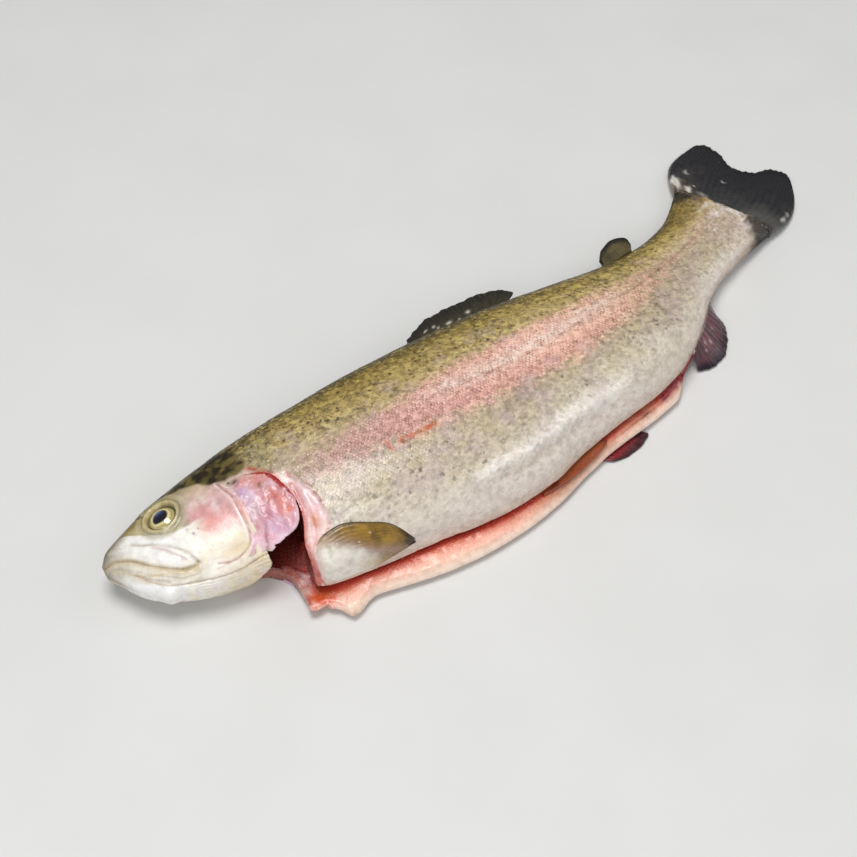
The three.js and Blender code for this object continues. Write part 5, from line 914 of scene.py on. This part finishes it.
fin("pelvic_fin_left_web", "pelvic_fin_left", [(146,-36.9),(146.6,-33.8)], [(176.6,-33.2),(177.8,-31.6),(175,-30.6)], 6.9, 7.1, GOLD, paint_pelL, nu=70, nv_=40, rays=6, thick=(1.3, .5), bulge=-1.4, ragged=.4, seed=990, ray_amp=.05)
def paint_pecR(u, v, s, w, P, prof, n1):
    c = np.zeros(u.shape+(3,)) + lin((206, 190, 160)); c = mixg(c, (140, 106, 44), np.clip(sm(u, .3, .7), 0, 1)); return mixg(c, (84, 66, 34), np.clip(sm(u, .88, 1), 0, 1))
fin("pectoral_fin_right_web", "pectoral_fin_right", [(67,-33),(67,-27)], [(90,-35),(97,-33.8),(98.3,-31.5),(95,-27),(88,-23.2),(80,-22.4)], .75, .7, GOLD, paint_pecR, nu=50, nv_=50, rays=10, thick=(1.1, .6), ragged=.4, seed=995, ray_amp=.08)
# pectoral fin lying on the flank
PU = np.array([(65.0,150),(66.5,143.5),(68.3,140.0),(72.3,136.6),(77.3,135.4),(80.8,136.4),(85.9,140.2),(91.9,146.6),(94.2,152.2),(96.4,160),(98.0,166)], float)
PD = np.array([(65.0,166),(66.5,171),(68.3,174.5),(74,176.5),(80,176.5),(84.6,175.8),(89.1,173.8),(93.9,171.2),(98.0,169.5)], float)
def pectoral():
    nr, nc = 130, 90
    t = np.linspace(0, 1, nr)[:, None]*np.ones((1, nc)); v = np.linspace(0, 1, nc)[None]*np.ones((nr, 1))
    s = 65.0 + 33.2*t
    a, b = pchip(PU[:, 0], PU[:, 1], s[:, 0])[:, None], pchip(PD[:, 0], PD[:, 1], s[:, 0])[:, None]
    F = a + (b-a)*v
    s = s + .9*fbm(np.stack([v*14, 0*v, 0*v], -1), 1.0, 1001, 2)*sm(t, .75, 1) - .5*np.abs(np.sin(np.pi*v*14))*sm(t, .8, 1)
    B = skin(s, F*D2R); Nn = skin_n(s, F*D2R); e = rim_profile(.12+.88*t, v, .12, .07)*sm(t, -.02, .16)
    n1, n2 = fbm(B, 1/5, 1003), fbm(B, 1/1.6, 1005)
    split = 1-v - .12*(t-.5)
    ray = np.abs(np.sin(np.pi*(v*15 + .8*t)))
    white = sm(v - .85*t + .10 + .10*n1 + .05*n2, .02, .34)*(1-sm(t, .50, .74))          # smooth pale root, lower front
    body_h = .55 + 1.0*np.exp(-((v-.5)/.32)**2)*(1-.4*t)
    d = body_h*e + .16*(ray-.4)*e*(1-white)*sm(t, .1, .3) + .12*n1*e + .05*n2
    step = np.exp(-((v - .95*t + .05)/.05)**2); d += .12*step*e
    O = B + Nn*d[..., None]; I = B + Nn*(.05 - .35*e*sm(1-t, .6, 1))[..., None]
    c = np.zeros(s.shape+(3,)) + lin((140, 108, 42)); n4 = fbm(B, 1/2.6, 1007)
    c = mixg(c, (90, 70, 32), np.clip(.5*ray*(.4+1.2*n4), 0, 1)); c = mixg(c, (178, 138, 58), np.clip(n1*1.8, 0, 1)*.6); c = mixg(c, (84, 76, 38), np.clip(n4*1.6-.1, 0, 1)*.6)
    c = mixg(c, (168, 138, 122), np.clip(np.exp(-((v - .95*t - .0)/.16)**2)*sm(t, .05, .3)*.8, 0, 1))
    c = mixg(c, (182, 158, 132), np.clip((1-sm(t, .12, .34))*.8, 0, 1))
    c = mixg(c, (214, 168, 152), np.clip((1-sm(t + .03*n1, .02, .14))*.85, 0, 1)*(1-white)); c = mixg(c, (238, 233, 222), white); c = mixg(c, (222, 186, 172), np.clip((1-sm(t, 0, .10))*.8, 0, 1))
    c = mixg(c, (206, 192, 170), np.clip(white*(n4*1.6), 0, 1)*.6)
    c = mixg(c, (206, 180, 142), np.clip(np.exp(-((v - .95*t - .28)/.12)**2)*sm(t, .35, .6)*.6, 0, 1))
    c = mixg(c, (62, 50, 28), np.clip(sm(1-v, .93, 1)*sm(t, .08, .2)*.85, 0, 1)); c = mixg(c, (52, 46, 34), np.clip(sm(t + .06*n2, .86, .98)*.9, 0, 1))
    c = mixg(c, (84, 60, 24), np.clip(sm(v, .86, .98)*sm(t, .55, .8)*.6, 0, 1))
    for (tt, vv, rr) in ((.22, .30, .018), (.26, .34, .014), (.31, .44, .010), (.28, .24, .010), (.41, .47, .012), (.36, .55, .009), (.62, .20, .009), (.50, .34, .008), (.18, .40, .012)):
        c = mixg(c, (240, 232, 214), np.clip(np.exp(-((t-tt)/rr)**2-((v-vv)/(rr*1.3))**2), 0, 1)*.8)
    shell("pectoral_fin_left_web", O, I, c, np.stack([s, v*15, 0*s], -1), GOLD, "pectoral_fin_left")
pectoral()

# ------------------------------------------------------------------ floor, lights, camera
fl = make("floor", np.array([(-2500, -2500, -.05), (2500, -2500, -.05), (2500, 2500, -.05), (-2500, 2500, -.05)]) - SHIFT, [(0, 1, 2, 3)], smooth=False)
fm_, nt, b = new_mat("floor_pale"); n = N(nt)
nt.links.new(n.mix(n.ramp(n.noise(n.obj(), .02, 3), .3, .7, 0, 1), (.69, .69, .68, 1), (.71, .71, .705, 1)), b.inputs["Base Color"]); b.inputs["Roughness"].default_value = .6
fl.data.materials.append(fm_)
def area(name, pos, target, size, power, color=(1, 1, 1)):
    l = bpy.data.lights.new(name, "AREA"); l.shape = "DISK"; l.size = size; l.energy = power; l.color = color
    o = bpy.data.objects.new(name, l); o.location = pos; o.rotation_mode = "QUATERNION"
    o.rotation_quaternion = (Vector(target)-Vector(pos)).to_track_quat("-Z", "Y"); bpy.context.scene.collection.objects.link(o); return o
area("key", (-.10, .06, 1.35), (0, 0, 0), .75, 12.0, (1.0, .985, .96))
area("fill", (-.75, -.75, .85), (0, 0, .02), 1.0, 6.4, (.97, .985, 1.0))
area("side", (1.0, -.35, .8), (0, 0, .02), .8, 2.0)
w_ = bpy.data.worlds.new("studio"); bpy.context.scene.world = w_; w_.use_nodes = True
bg = w_.node_tree.nodes["Background"]; bg.inputs[0].default_value = (.95, .97, 1.0, 1); bg.inputs[1].default_value = .20
sc = bpy.context.scene; sc.view_settings.view_transform = "Standard"; sc.view_settings.look = "None"; sc.view_settings.exposure = 0.0
az, el, dist = -33*D2R, 52*D2R, 600.0
back = np.array([math.sin(az)*math.cos(el), -math.cos(az)*math.cos(el), math.sin(el)])
pos = (np.array([0, 0, 15.0]) + back*dist + SHIFT)/1000.0
cd = bpy.data.cameras.new("camera"); cd.lens = 70; cd.sensor_width = 36; cd.clip_start = .01; cd.clip_end = 20
cam = bpy.data.objects.new("camera", cd); cam.location = pos; cam.rotation_mode = "QUATERNION"; cam.rotation_quaternion = Vector(-back).to_track_quat("-Z", "Y")
sc.collection.objects.link(cam); sc.camera = cam
